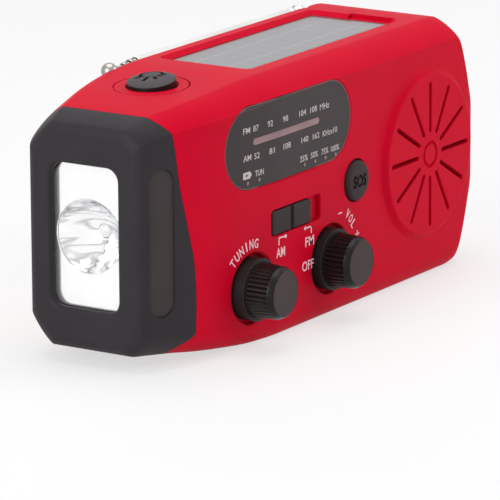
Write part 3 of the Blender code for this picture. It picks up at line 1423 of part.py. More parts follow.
def crank_pieces():
    """The crank, drawn flat in its bay and then lifted out about its hinge pin."""
    hub = (HUB_X, HUB_Z)
    disc_low = BAY_Y + GAP
    disc_high = disc_low + HUB_DISC_THICK
    pin_x = HUB_X + HINGE_OFFSET
    profile = [
        (disc_low, 0), (disc_low, HUB_RADIUS), (disc_high - HUB_BEVEL, HUB_RADIUS),
        (disc_high, HUB_RADIUS - HUB_BEVEL), (disc_high, 0),
    ]
    disc = turned("crank_hub", profile, "Y", hub, MIDDLE)
    inner = HINGE_EYE_WIDTH / 2 + GAP
    for side in (-1, 1):
        low_z, high_z = sorted((HUB_Z + side * inner, HUB_Z + side * (inner + HINGE_EAR_WIDTH)))
        ear = rod("ear", "Z", (pin_x, HINGE_Y), HINGE_EYE_RADIUS, low_z, high_z)
        low = (pin_x - HINGE_EYE_RADIUS, disc_high - HUB_BEVEL, low_z)
        join(ear, box("ear_foot", low, (pin_x + HINGE_EYE_RADIUS, HINGE_Y, high_z)))
        join(disc, ear)
    reach = inner + HINGE_EAR_WIDTH
    cut(disc, rod("pin_bore", "Z", (pin_x, HINGE_Y), HINGE_PIN_RADIUS + GAP, -REACH, REACH, TINY))
    cut(disc, rod("shaft_bore", "Y", hub, CRANK_SHAFT_RADIUS + GAP, 0, disc_high - HUB_BEVEL * 2))
    finished(disc, "knob_black", (HUB_X, disc_low, HUB_Z))
    pin = rod("crank_hinge_pin", "Z", (pin_x, HINGE_Y), HINGE_PIN_RADIUS, HUB_Z - reach, HUB_Z + reach, TINY)
    finished(pin, "steel", (pin_x, HINGE_Y, HUB_Z))
    shaft_end = disc_high - HUB_BEVEL * 2 - GAP
    shaft = rod("crank_shaft", "Y", hub, CRANK_SHAFT_RADIUS, PLATE_Y - CRANK_SHAFT_DEPTH, shaft_end)
    finished(shaft, "steel", (HUB_X, PLATE_Y, HUB_Z))

    arm_high = HINGE_Y - ARM_SINK
    arm_low = arm_high - ARM_THICK
    end_x = pin_x + ARM_LENGTH
    pivot_y = (arm_low + arm_high) / 2
    half_width = ARM_WIDTH / 2
    ear_reach = ARM_THICK / 2
    low = (pin_x + ARM_STEP, arm_low, HUB_Z - half_width)
    arm = box("crank_arm", low, (end_x, arm_high, HUB_Z + half_width))
    join(arm, rod("tip", "Z", (end_x, pivot_y), ear_reach, HUB_Z - half_width, HUB_Z + half_width))
    half_eye = HINGE_EYE_WIDTH / 2
    eye = rod("eye", "Z", (pin_x, HINGE_Y), HINGE_EYE_RADIUS, HUB_Z - half_eye, HUB_Z + half_eye)
    low = (pin_x, HINGE_Y - HINGE_EYE_RADIUS, HUB_Z - half_eye)
    neck = box("neck", low, (pin_x + ARM_STEP * 1.6, HINGE_Y + GAP * 2, HUB_Z + half_eye))
    join(arm, join(eye, neck))
    cut(arm, rod("eye_bore", "Z", (pin_x, HINGE_Y), HINGE_PIN_RADIUS + GAP, -REACH, REACH, TINY))
    groove_z = HUB_Z + ARM_GROOVE_Z
    for face, into in ((arm_high, -1), (arm_low, 1)):
        low_y, high_y = sorted((face - into * OVERRUN, face + into * ARM_GROOVE_DEPTH))
        low = (pin_x + ARM_STEP * 2, low_y, groove_z)
        high = (end_x - KNOB_EAR_WIDTH * 2, high_y, groove_z + ARM_GROOVE_WIDTH)
        cut(arm, box("groove", low, high))
    lug = half_width - KNOB_EAR_WIDTH
    slot_start = end_x - ear_reach * 2.2
    low = (slot_start, -REACH, HUB_Z - lug)
    cut(arm, box("fork", low, (REACH, REACH, HUB_Z + lug)))
    cut(arm, rod("knob_bore", "Z", (end_x, pivot_y), KNOB_PIN_RADIUS + GAP, -REACH, REACH, TINY))

    grip_top = arm_low - GAP
    grip_low = grip_top - GRIP_THICK
    root_x = end_x + GRIP_TAIL
    tip_x = end_x - GRIP_LENGTH + GRIP_TAIL
    half_grip = GRIP_WIDTH / 2
    half_tip = half_grip * GRIP_TAPER_SHARE
    outline = [(root_x, HUB_Z - half_tip), (root_x, HUB_Z + half_tip)]
    outline += [(root_x - GRIP_TAIL * 2, HUB_Z + half_grip), (tip_x + GRIP_TAIL, HUB_Z + half_grip)]
    outline += [(tip_x, HUB_Z + half_grip - GRIP_BEVEL), (tip_x, HUB_Z - half_grip + GRIP_BEVEL)]
    outline += [(tip_x + GRIP_TAIL, HUB_Z - half_grip), (root_x - GRIP_TAIL * 2, HUB_Z - half_grip)]
    grip = softened(prism("crank_knob", outline, "Y", grip_low, grip_top), GRIP_BEVEL)
    wall = GRIP_HOLLOW_WALL
    low = (tip_x - OVERRUN, grip_low + wall, HUB_Z - half_grip + wall * 2)
    high = (tip_x + GRIP_HOLLOW_DEPTH, grip_top - wall, HUB_Z + half_grip - wall * 2)
    cut(grip, box("hollow", low, high))
    half_lug = lug - GAP
    eye = rod("grip_eye", "Z", (end_x, pivot_y), ear_reach, HUB_Z - half_lug, HUB_Z + half_lug)
    low = (end_x - ear_reach, grip_top - wall, HUB_Z - half_lug)
    join(grip, join(eye, box("grip_neck", low, (end_x + ear_reach, pivot_y, HUB_Z + half_lug))))
    cut(grip, rod("grip_bore", "Z", (end_x, pivot_y), KNOB_PIN_RADIUS + GAP, -REACH, REACH, TINY))
    low, high = HUB_Z - half_width, HUB_Z + half_width
    pin = rod("knob_pin", "Z", (end_x, pivot_y), KNOB_PIN_RADIUS, low, high, TINY)

    hinge = Vector((pin_x, HINGE_Y, HUB_Z))
    holder = bpy.data.objects.new("crank_hinge", None)
    bpy.context.collection.objects.link(holder)
    holder.location = hinge
    holder.rotation_euler = (0, 0, math.radians(FOLD_DEGREES))
    pivot = Vector((end_x, pivot_y, HUB_Z))
    for piece, finish, origin in (
        (arm, "knob_black", hinge), (pin, "steel", pivot), (grip, "knob_black", pivot),
    ):
        finished(piece, finish, origin)
        piece.parent = holder
        piece.location = origin - hinge


def aerial_pieces():
    """The aerial lying along the top rear edge, its tubes pushed in."""
    centre = (AERIAL_X, AERIAL_Y)
    seat = REBATE_Z + GAP
    bottom = REBATE_Z - SWIVEL_DEPTH
    stub = turned("aerial_base", [
        (bottom, 0), (bottom, SWIVEL_RADIUS), (seat, SWIVEL_RADIUS), (seat, FORK_RADIUS),
        (AERIAL_Z + FORK_RADIUS / 2, FORK_RADIUS), (AERIAL_Z + FORK_RADIUS, FORK_RADIUS / 2),
        (AERIAL_Z + FORK_RADIUS, 0),
    ], "Z", centre, COARSE)
    half_slot = EYE_THICK / 2 + GAP
    low = (-REACH, AERIAL_Y - half_slot, seat + GAP)
    cut(stub, box("fork_slot", low, (REACH, AERIAL_Y + half_slot, REACH)))
    across = (AERIAL_X, AERIAL_Z)
    cut(stub, rod("pin_bore", "Y", across, AERIAL_PIN_RADIUS + GAP, -REACH, REACH, TINY))
    finished(stub, "aerial_chrome", (AERIAL_X, AERIAL_Y, AERIAL_Z))
    eye = AERIAL_Z - seat - GAP * 2
    start = AERIAL_X - TUBE_START
    root = rod("aerial_root", "Y", across, eye, AERIAL_Y - EYE_THICK / 2, AERIAL_Y + EYE_THICK / 2)
    low = (start, AERIAL_Y - EYE_THICK / 2, AERIAL_Z - eye / 2)
    join(root, box("tongue", low, (AERIAL_X, AERIAL_Y + EYE_THICK / 2, AERIAL_Z + eye / 2)))
    reach = EYE_THICK / 2 + GAP + EAR_THICK
    join(root, rod("pin", "Y", across, AERIAL_PIN_RADIUS, AERIAL_Y - reach, AERIAL_Y + reach, TINY))
    line = (AERIAL_Y, AERIAL_Z)
    join(root, rod("collar", "X", line, TUBE_RADIUS, start - TUBE_RADIUS / 2, start + GAP))
    plug = TUBE_RADIUS - TUBE_WALL - GAP / 2
    plug_end = start - TUBE_RADIUS / 2 - TUBE_LIP
    join(root, rod("plug", "X", line, plug, plug_end, start))
    pivot = (AERIAL_X, AERIAL_Y, AERIAL_Z)
    finished(root, "aerial_chrome", pivot)
    tube_start = start - TUBE_RADIUS / 2 - GAP
    for index in range(TUBE_COUNT):
        outer = TUBE_RADIUS - TUBE_STEP * index
        inner = outer - TUBE_WALL
        tip = tube_start - TUBE_LENGTH - TUBE_LIP * index
        near = tube_start if index == 0 else plug_end - GAP * index
        name = f"aerial_tube_{index + 1}"
        if index < TUBE_COUNT - 1:
            tube = sleeve(name, "X", line, inner, outer, tip, near)
        else:
            ball = tip - TIP_NECK - TIP_RADIUS
            profile = [(near, 0), (near, outer), (tip, outer), (tip - TIP_NECK / 2, outer / 2)]
            for i in range(7):
                angle = math.pi * (i + 1) / 8
                profile.append((ball + TIP_RADIUS * math.cos(angle), TIP_RADIUS * math.sin(angle)))
            profile.append((ball - TIP_RADIUS, 0))
            tube = turned(name, profile, "X", line, COARSE)
        finished(tube, "aerial_chrome", pivot)


def case_screws():
    """Four alike, each with its head in a well of the rear shell."""
    seat = SCREW_SEAT_Y
    top = seat + SCREW_HEAD_THICK
    for index, (x, z) in enumerate(SCREWS):
        profile = [
            (seat - SCREW_LENGTH, 0), (seat - SCREW_LENGTH, SCREW_SHANK_RADIUS), (seat, SCREW_SHANK_RADIUS),
            (seat, SCREW_HEAD_RADIUS), (top, SCREW_HEAD_RADIUS - SCREW_BEVEL), (top, 0),
        ]
        screw = turned(f"case_screw_{index + 1}", profile, "Y", (x, z), TINY)
        finished(screw, "steel", (x, seat, z))


def main():
    clear_scene()
    case = blank_case("case")
    front_shell(case)
    rear_shell(case)
    bpy.data.objects.remove(case, do_unlink=True)
    bumper()
    torch_housing()
    torch_lens()
    reflector()
    lamp()
    lamp_board()
    dial_pieces()
    knob_set("tuning", TUNING_X, "tuning_capacitor", CAPACITOR_SIZE, CAPACITOR_RISE, CAPACITOR_DEPTH)
    knob_set("volume", VOLUME_X, "volume_pot", POT_SIZE, POT_RISE, POT_DEPTH)
    band_switch_pieces()
    sos_pieces()
    power_button_pieces()
    main_board()
    speaker_pieces()
    solar_pieces()
    port_pieces()
    battery_piece()
    ferrite_pieces()
    gear_train()
    crank_pieces()
    aerial_pieces()
    case_screws()


main()
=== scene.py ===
"""Dressed model of a hand-crank radio with a solar panel, a torch and a speaker.

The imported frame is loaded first. Every surface is then worked out as whole arrays on grids and
profiles, given a finish made of shader nodes, and set to ride on the body that carries it.
Lengths are in metres, the dial faces -Y, the torch faces -X and the solar panel faces +Z.
"""

from __future__ import annotations

import json
import logging
import math
from contextlib import contextmanager
from dataclasses import dataclass, field
from enum import Enum
from typing import Any, Callable, Iterator, Sequence

import bmesh
import bpy
import numpy as np
from mathutils import Matrix, Vector


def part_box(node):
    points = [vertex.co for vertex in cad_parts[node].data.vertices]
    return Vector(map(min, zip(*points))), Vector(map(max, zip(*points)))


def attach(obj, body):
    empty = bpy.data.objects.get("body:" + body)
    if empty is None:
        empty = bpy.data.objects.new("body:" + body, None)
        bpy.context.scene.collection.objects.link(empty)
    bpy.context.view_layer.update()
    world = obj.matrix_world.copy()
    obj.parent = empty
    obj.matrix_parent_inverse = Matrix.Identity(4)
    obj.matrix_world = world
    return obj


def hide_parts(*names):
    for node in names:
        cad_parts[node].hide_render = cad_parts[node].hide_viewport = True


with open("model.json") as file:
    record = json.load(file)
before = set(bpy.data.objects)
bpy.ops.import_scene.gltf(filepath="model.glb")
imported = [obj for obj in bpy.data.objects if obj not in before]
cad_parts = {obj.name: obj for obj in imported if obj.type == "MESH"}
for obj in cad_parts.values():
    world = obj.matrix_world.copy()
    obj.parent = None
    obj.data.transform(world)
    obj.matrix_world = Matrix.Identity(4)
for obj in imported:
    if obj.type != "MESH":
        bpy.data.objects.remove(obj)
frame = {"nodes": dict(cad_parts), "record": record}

LOG = logging.getLogger("radio")
Array = np.ndarray
Piece = bpy.types.Object
Outline = Callable[[float], Array]
Pair = tuple[float, float]
Triple = tuple[float, float, float]

# Lengths in metres: the clearance between pieces, the seam between halves, the rounding of most
# edges, how far a cutter runs past a face, and a place beyond everything
GAP = 0.0003
SEAM = 0.00012
EDGE = 0.0003
OVER = 0.001
FAR = 0.2
# How near two points must lie to be merged, in a mesh and in lettering
WELD = 1e-7
LETTER_WELD = 1e-5
QUARTER = math.pi / 2


class How(Enum):
    """What a Boolean does with its tools."""

    CUT = "DIFFERENCE"
    JOIN = "UNION"
    KEEP = "INTERSECT"


class Axis(Enum):
    """The axis that a profile is turned about or an outline is carried along."""

    X = 0
    Y = 1
    Z = 2

    def place(self, u: Array, v: Array, along: Array) -> Array:
        """Put two coordinates across the axis and one along it in the order of X, Y, Z.

        Args:
            u: The first coordinate across the axis.
            v: The second coordinate across the axis.
            along: The coordinate along the axis.

        Returns:
            Points with their three coordinates in the last dimension.
        """
        parts = [u, v]
        parts.insert(self.value, along)
        return np.stack(np.broadcast_arrays(*parts), axis=-1)

    def across(self, point: Sequence[float]) -> Pair:
        """Return a point's two coordinates across the axis."""
        return tuple(float(value) for number, value in enumerate(point) if number != self.value)


def linked(name: str, data: Any) -> bpy.types.Object:
    """Return a new object in the scene that holds some data."""
    piece = bpy.data.objects.new(name, data)
    bpy.context.scene.collection.objects.link(piece)
    return piece


@contextmanager
def editing(mesh: bpy.types.Mesh) -> Iterator[bmesh.types.BMesh]:
    """Open a mesh for editing and write it back afterwards."""
    edit = bmesh.new()
    edit.from_mesh(mesh)
    yield edit
    edit.to_mesh(mesh)
    edit.free()


def evaluated(piece: Piece) -> bpy.types.Mesh:
    """Return a piece's mesh as its modifiers or its lettering leave it."""
    graph = bpy.context.evaluated_depsgraph_get()
    return bpy.data.meshes.new_from_object(piece.evaluated_get(graph))


def mesh_piece(name: str, points: Array, faces: Sequence[Sequence[int]]) -> Piece:
    """Make a piece from points and faces, with doubles merged and faces turned outwards.

    Args:
        name: Name of the new object.
        points: Points in an array whose last dimension holds X, Y and Z.
        faces: Point numbers of each face.

    Returns:
        The new object, linked to the scene.
    """
    mesh = bpy.data.meshes.new(name)
    mesh.from_pydata(points.reshape(-1, 3).tolist(), [], faces)
    with editing(mesh) as edit:
        bmesh.ops.remove_doubles(edit, verts=edit.verts, dist=WELD)
        bmesh.ops.recalc_face_normals(edit, faces=edit.faces)
    return linked(name, mesh)


def surface(name: str, points: Array, closed: bool = False) -> Piece:
    """Make a piece from a grid of rings: neighbours in the grid share a four-sided face.

    Args:
        name: Name of the new object.
        points: Rings of points, as rows by columns by three. Each ring closes on itself.
        closed: Whether the last ring joins the first. Otherwise both ends get a cap.

    Returns:
        The new object.
    """
    rows, columns = points.shape[:2]
    row = np.arange(rows if closed else rows - 1)[:, None]
    column = np.arange(columns)[None, :]
    beside = (column + 1) % columns
    above = (row + 1) % rows
    here, there = row * columns, above * columns
    loop = np.broadcast_arrays(here + column, here + beside, there + beside, there + column)
    faces = np.stack(loop, axis=-1).reshape(-1, 4).tolist()
    if not closed:
        faces += [list(range(columns)), list(range((rows - 1) * columns, rows * columns))]
    return mesh_piece(name, points, faces)


def lathe(name: str, profile: Sequence[Pair], axis: Axis, centre: Pair, steps: int = 64,
          closed: bool = False, ridge: Callable[[Array, Array], Array] | None = None) -> Piece:
    """Turn a profile about an axis: each point goes round in a circle of its radius.

    Args:
        name: Name of the new object.
        profile: Pairs of the place along the axis and the radius.
        axis: The axis of the turn.
        centre: Where the axis stands, across itself.
        steps: Number of points round the circle.
        closed: Whether the profile joins its own start, for a ring.
        ridge: What is added to the radius, as a function of profile index and angle.

    Returns:
        The new object.
    """
    table = np.asarray(profile, dtype=float)
    angle = math.tau * np.arange(steps) / steps
    radius = np.repeat(table[:, 1:2], steps, axis=1)
    if ridge is not None:
        radius = radius + ridge(np.arange(len(table))[:, None], angle[None, :])
    u = centre[0] + radius * np.cos(angle)
    v = centre[1] + radius * np.sin(angle)
    return surface(name, axis.place(u, v, table[:, 0:1]), closed)


def rounded(centre: Pair, width: float, height: float, radius: float, steps: int) -> Array:
    """Return a rectangle's outline with a quarter circle in each corner.

    Args:
        centre: The rectangle's middle.
        width: Its size along the first coordinate.
        height: Its size along the second coordinate.
        radius: Radius of the corners.
        steps: Number of steps in each corner.

    Returns:
        The points of the outline, as rows of two numbers.
    """
    radius = min(max(radius, 1e-5), width / 2 - 1e-6, height / 2 - 1e-6)
    quarter = np.repeat(np.arange(4), steps + 1)
    angle = QUARTER * (quarter + np.tile(np.arange(steps + 1) / steps, 4))
    side_u = np.array([1, -1, -1, 1])[quarter]
    side_v = np.array([1, 1, -1, -1])[quarter]
    u = centre[0] + side_u * (width / 2 - radius) + radius * np.cos(angle)
    v = centre[1] + side_v * (height / 2 - radius) + radius * np.sin(angle)
    return np.stack([u, v], axis=-1)


def rectangle(centre: Pair, width: float, height: float, radius: float,
              steps: int = 8) -> Outline:
    """Return a function that draws a round-cornered rectangle, grown by a length on each side."""
    return lambda grow: rounded(centre, width + 2 * grow, height + 2 * grow, radius + grow, steps)


def disc(centre: Pair, radius: float, steps: int = 64) -> Outline:
    """Return a function that draws a circle, grown by a length."""
    angle = math.tau * np.arange(steps) / steps
    unit = np.stack([np.cos(angle), np.sin(angle)], axis=-1)
    return lambda grow: np.array(centre) + unit * (radius + grow)


def loft(name: str, outline: Outline, levels: Sequence[Pair], axis: Axis,
         base: Callable[[Array], Array] | None = None) -> Piece:
    """Carry an outline along an axis, grown or drawn in at each level.

    Args:
        name: Name of the new object.
        outline: Function that gives the outline for a growth.
        levels: Pairs of the place along the axis and the growth there.
        axis: The axis that the outline is carried along.
        base: Surface that the places along the axis are counted from, as a function of the
            outline's first coordinate.

    Returns:
        The new object, closed at both ends.
    """
    rings = []
    for along, grow in levels:
        flat = outline(grow)
        lift = base(flat[:, 0]) if base else 0.0
        rings.append(axis.place(flat[:, 0], flat[:, 1], along + lift))
    return surface(name, np.stack(rings))


def straight(start: float, end: float) -> list[Pair]:
    """Levels of a form with one outline from start to end."""
    return [(start, 0.0), (end, 0.0)]


def eased(place: float, inward: float, radius: float, steps: int = 4) -> list[Pair]:
    """Levels of a face with a rounded edge: a quarter circle from the side to the face.

    Args:
        place: Where the face lies along the axis.
        inward: The direction from the face into the piece, 1 or -1.
        radius: Radius of the edge.
        steps: Number of steps in the quarter circle.

    Returns:
        Pairs of the place and the growth, which falls from zero to minus the radius.
    """
    angle = np.linspace(0, QUARTER, steps + 1)
    return [(place + inward * radius * (1 - math.sin(a)), -radius * (1 - math.cos(a))) for a in angle]


def soft(start: float, end: float, radius: float, steps: int = 4) -> list[Pair]:
    """Levels of a form with rounded edges at both ends."""
    return eased(start, 1, radius, steps)[::-1] + eased(end, -1, radius, steps)


def mouth(place: float, outward: float, radius: float, steps: int = 4) -> list[Pair]:
    """Levels of a cutter that leaves a rounded edge round an opening's mouth.

    Args:
        place: Where the surface round the opening lies along the axis.
        outward: The direction out of the surface, 1 or -1.
        radius: Radius of the edge.
        steps: Number of steps in the quarter circle.

    Returns:
        Pairs of the place and the growth, from the side of the opening out past its mouth.
    """
    angle = np.linspace(0, QUARTER, steps + 1)
    levels = [(place - outward * radius * (1 - math.sin(a)), radius * (1 - math.cos(a))) for a in angle]
    return levels + [(place + outward * radius * 2, radius * 1.2)]


def opening(floor: float, face: float, outward: float, radius: float, far: float = 0.0) -> list[Pair]:
    """Levels of a cutter from an opening's floor out through its rounded mouth.

    Args:
        floor: Where the opening ends inside.
        face: Where the surface round it lies.
        outward: The direction out of the surface, 1 or -1.
        radius: Radius of the mouth's edge.
        far: Where the cutter ends, or zero to end just outside the mouth.

    Returns:
        Pairs of the place and the growth.
    """
    return [(floor, 0.0)] + mouth(face, outward, radius) + ([(far, radius * 1.25)] if far else [])


def bar(name: str, low: Sequence[float], high: Sequence[float], radius: float = 0.0) -> Piece:
    """A block between two corners, with all its edges rounded where a radius is given.

    Args:
        name: Name of the new object.
        low: The lowest corner.
        high: The highest corner.
        radius: Radius of the edges.

    Returns:
        The new object.
    """
    low, high = np.array(low, dtype=float), np.array(high, dtype=float)
    centre, size = tuple((low + high)[:2] / 2), (high - low)[:2]
    if radius <= 0:
        return loft(name, rectangle(centre, size[0], size[1], 0.0, 1), straight(low[2], high[2]), Axis.Z)
    return loft(name, rectangle(centre, size[0], size[1], radius, 4), soft(low[2], high[2], radius), Axis.Z)


def rod(name: str, at: Pair, radius: float, ends: Pair, axis: Axis, steps: int = 32,
        edge: float = 0.0, edge_steps: int = 4) -> Piece:
    """A round bar along an axis, with rounded rims where an edge is given.

    Args:
        name: Name of the new object.
        at: Where it stands, across the axis.
        radius: Its radius.
        ends: Where it starts and ends along the axis.
        axis: The axis that it lies along.
        steps: Number of points round it.
        edge: Radius of its rims.
        edge_steps: Number of steps in each rim.

    Returns:
        The new object.
    """
    levels = soft(*ends, edge, edge_steps) if edge else straight(*ends)
    return loft(name, disc(at, radius, steps), levels, axis)


def combine(target: Piece, tools: Sequence[Piece], how: How) -> Piece:
    """Apply one Boolean with several tools, which are used up.

    Args:
        target: The piece that is changed.
        tools: The pieces that change it.
        how: What is done with them.

    Returns:
        The target.
    """
    group = bpy.data.collections.new("tools")
    for tool in tools:
        group.objects.link(tool)
    change = target.modifiers.new("combine", "BOOLEAN")
    change.operation = how.value
    change.solver = "MANIFOLD"
    change.operand_type = "COLLECTION"
    change.collection = group
    mesh = evaluated(target)
    target.modifiers.clear()
    target.data = mesh
    for tool in tools:
        bpy.data.objects.remove(tool, do_unlink=True)
    bpy.data.collections.remove(group)
    return target


def smooth(piece: Piece, degrees: float = 32.0) -> Piece:
    """Shade a piece smooth, keep the edges sharper than an angle, and let large faces stay flat."""
    with editing(piece.data) as edit:
        bmesh.ops.dissolve_degenerate(edit, dist=WELD * 10, edges=edit.edges)
    piece.data.shade_smooth()
    piece.data.set_sharp_from_angle(angle=math.radians(degrees))
    weighted = piece.modifiers.new("even_light", "WEIGHTED_NORMAL")
    weighted.keep_sharp = True
    return piece


def joined(name: str, parts: Sequence[Piece]) -> Piece:
    """Gather several pieces into one mesh, without changing their faces."""
    edit = bmesh.new()
    for part in parts:
        edit.from_mesh(part.data)
    mesh = bpy.data.meshes.new(name)
    edit.to_mesh(mesh)
    edit.free()
    for part in parts:
        bpy.data.objects.remove(part, do_unlink=True)
    return linked(name, mesh)


def moved(piece: Piece, matrix: Matrix) -> Piece:
    """Turn and shift a piece's mesh, so that its object stays at the origin."""
    piece.data.transform(matrix)
    return piece


def turn_about(pivot: Sequence[float], axis: Sequence[float], degrees: float) -> Matrix:
    """Return the matrix of a turn about an axis through a pivot."""
    there = Matrix.Translation(Vector(pivot))
    return there @ Matrix.Rotation(math.radians(degrees), 4, Vector(axis)) @ there.inverted()


def bent(piece: Piece, place: Callable[[Array], Array]) -> Piece:
    """Move every point of a piece's mesh by a function of all the points."""
    mesh = piece.data
    points = np.empty(len(mesh.vertices) * 3, dtype=np.float64)
    mesh.vertices.foreach_get("co", points)
    mesh.vertices.foreach_set("co", place(points.reshape(-1, 3)).reshape(-1))
    mesh.update()
    return piece


def glyphs(name: str, words: str, width: float, height: float, thick: float, bold: float = 0.0) -> Piece:
    """Lettering as a thin closed solid, centred on the origin of the XY plane.

    Args:
        name: Name of the new object.
        words: The letters.
        width: Width that the letters are fitted to, or zero to keep their own.
        height: Height that the letters are fitted to.
        thick: Thickness along Z.
        bold: How far the outlines are grown, as a share of the height.

    Returns:
        The new object.
    """
    curve = bpy.data.curves.new(name, "FONT")
    curve.body = words
    curve.size = 1.0
    curve.offset = bold
    curve.resolution_u = 3
    curve.extrude = 0.5
    writing = linked(name, curve)
    mesh = evaluated(writing)
    bpy.data.objects.remove(writing, do_unlink=True)
    with editing(mesh) as edit:
        bmesh.ops.remove_doubles(edit, verts=edit.verts, dist=LETTER_WELD)
    piece = linked(name, mesh)

    def fit(points: Array) -> Array:
        """Scale the points to the wanted size about their middle."""
        low, high = points.min(axis=0), points.max(axis=0)
        size = high - low
        tall = height / size[1]
        scale = np.array([width / size[0] if width else tall, tall, thick / size[2]])
        return (points - (low + high) / 2) * scale

    return bent(piece, fit)


Link = Any


@dataclass
class Wire:
    """A shader number that takes part in ordinary arithmetic.

    Attributes:
        tree: The node tree that new Math nodes go into.
        socket: The output that carries the number.
    """

    tree: bpy.types.NodeTree
    socket: bpy.types.NodeSocket

    def math(self, operation: str, *values: Link, clamp: bool = False) -> Wire:
        """Add a Math node.

        Args:
            operation: The node's operation.
            values: Its inputs, as wires or numbers.
            clamp: Whether the result is kept between 0 and 1.

        Returns:
            The result.
        """
        node = self.tree.nodes.new("ShaderNodeMath")
        node.operation = operation
        node.use_clamp = clamp
        for socket, value in zip(node.inputs, values):
            if isinstance(value, Wire):
                self.tree.links.new(value.socket, socket)
            else:
                socket.default_value = value
        return Wire(self.tree, node.outputs[0])

    def __add__(self, other: Link) -> Wire:
        """Return the sum."""
        return self.math("ADD", self, other)

    def __sub__(self, other: Link) -> Wire:
        """Return the difference."""
        return self.math("SUBTRACT", self, other)

    def __rsub__(self, other: Link) -> Wire:
        """Return what is left of a number."""
        return self.math("SUBTRACT", other, self)

    def __mul__(self, other: Link) -> Wire:
        """Return the product."""
        return self.math("MULTIPLY", self, other)

    def __truediv__(self, other: Link) -> Wire:
        """Return the quotient."""
        return self.math("DIVIDE", self, other)

    __radd__ = __add__
    __rmul__ = __mul__

    def below(self, other: Link) -> Wire:
        """Return 1 where this is less than the other, and 0 elsewhere."""
        return self.math("LESS_THAN", self, other)

    def fraction(self) -> Wire:
        """Return the part after the decimal point."""
        return self.math("FRACT", self)

    def size(self) -> Wire:
        """Return the absolute value."""
        return self.math("ABSOLUTE", self)

    def between(self, low: float, high: float) -> Wire:
        """Return how far this has come from low to high, kept between 0 and 1."""
        return self.math("MULTIPLY", self - low, 1 / (high - low), clamp=True)


class Nodes:
    """A node tree under construction."""

    def __init__(self, tree: bpy.types.NodeTree) -> None:
        """Keep the tree."""
        self.tree = tree

    def node(self, kind: str, settings: dict[str, Any] | None = None, output: int | str = 0,
             **inputs: Link) -> Wire:
        """Add a node: its settings come first and then its sockets.

        Args:
            kind: The node's type without its ShaderNode prefix.
            settings: The node's own properties.
            output: The output that is returned, by name or by number.
            inputs: Values or wires by socket name, with underscores for spaces.

        Returns:
            The chosen output.
        """
        node = self.tree.nodes.new("ShaderNode" + kind)
        for key, value in (settings or {}).items():
            setattr(node, key, value)
        for key, value in inputs.items():
            label = key.replace("_", " ")
            self.feed(next(s for s in node.inputs if s.enabled and s.name == label), value)
        outputs = node.outputs if isinstance(output, str) else [s for s in node.outputs if s.enabled]
        return Wire(self.tree, outputs[output])

    def feed(self, socket: bpy.types.NodeSocket, value: Link) -> None:
        """Link a wire to a socket, or set the socket's own value."""
        if isinstance(value, Wire):
            self.tree.links.new(value.socket, socket)
        elif isinstance(value, tuple) and socket.type == "RGBA" and len(value) == 3:
            socket.default_value = (*value, 1.0)
        else:
            socket.default_value = value

    def seen(self) -> Wire:
        """Return 1 or more for what the camera, metal and glass see, and 0 for other light."""
        path = self.tree.nodes.new("ShaderNodeLightPath")
        camera, glossy, through = (Wire(self.tree, path.outputs[f"Is {kind} Ray"])
                                   for kind in ("Camera", "Glossy", "Transmission"))
        return camera + glossy + through

    def finish(self, share: Wire, first: Wire, second: Wire, end: str) -> None:
        """Blend two shaders by a share and lead the result to the tree's own output."""
        blend = self.tree.nodes.new("ShaderNodeMixShader")
        for socket, value in zip(blend.inputs, (share, first, second)):
            self.feed(socket, value)
        self.tree.links.new(blend.outputs[0], self.tree.nodes[end].inputs["Surface"])


class Shading(Nodes):
    """A material under construction, with one Principled shader."""

    def __init__(self, name: str) -> None:
        """Make the material and find its parts."""
        self.material = bpy.data.materials.new(name)
        self.material.use_nodes = True
        super().__init__(self.material.node_tree)
        self.shader = self.tree.nodes["Principled BSDF"]

    def place(self) -> Wire:
        """Return the point of the surface in the object's own coordinates."""
        return self.node("TexCoord", output="Object")

    def axes(self) -> tuple[Wire, Wire, Wire]:
        """Return the three coordinates of the surface's point."""
        node = self.tree.nodes.new("ShaderNodeSeparateXYZ")
        self.tree.links.new(self.place().socket, node.inputs[0])
        return tuple(Wire(self.tree, out) for out in node.outputs)

    def noise(self, scale: float, detail: float = 2.0,
              stretch: Triple | None = None) -> Wire:
        """Return a noise over the surface, with its scale in cycles per metre."""
        where = self.place()
        if stretch:
            where = self.node("Mapping", Vector=where, Scale=stretch)
        return self.node("TexNoise", Vector=where, Scale=scale, Detail=detail)

    def mix(self, share: Link, first: Link, second: Link) -> Wire:
        """Blend two colours by a share."""
        return self.node("Mix", {"data_type": "RGBA"}, Factor=share, A=first, B=second)

    def bump(self, height: Wire, strength: float, depth: float) -> None:
        """Let a height disturb the shader's normal."""
        raised = self.node("Bump", Height=height, Strength=strength, Distance=depth)
        self.set(Normal=raised)

    def set(self, **values: Link) -> None:
        """Feed the Principled shader's sockets by name, with underscores for spaces."""
        for key, value in values.items():
            self.feed(self.shader.inputs[key.replace("_", " ")], value)


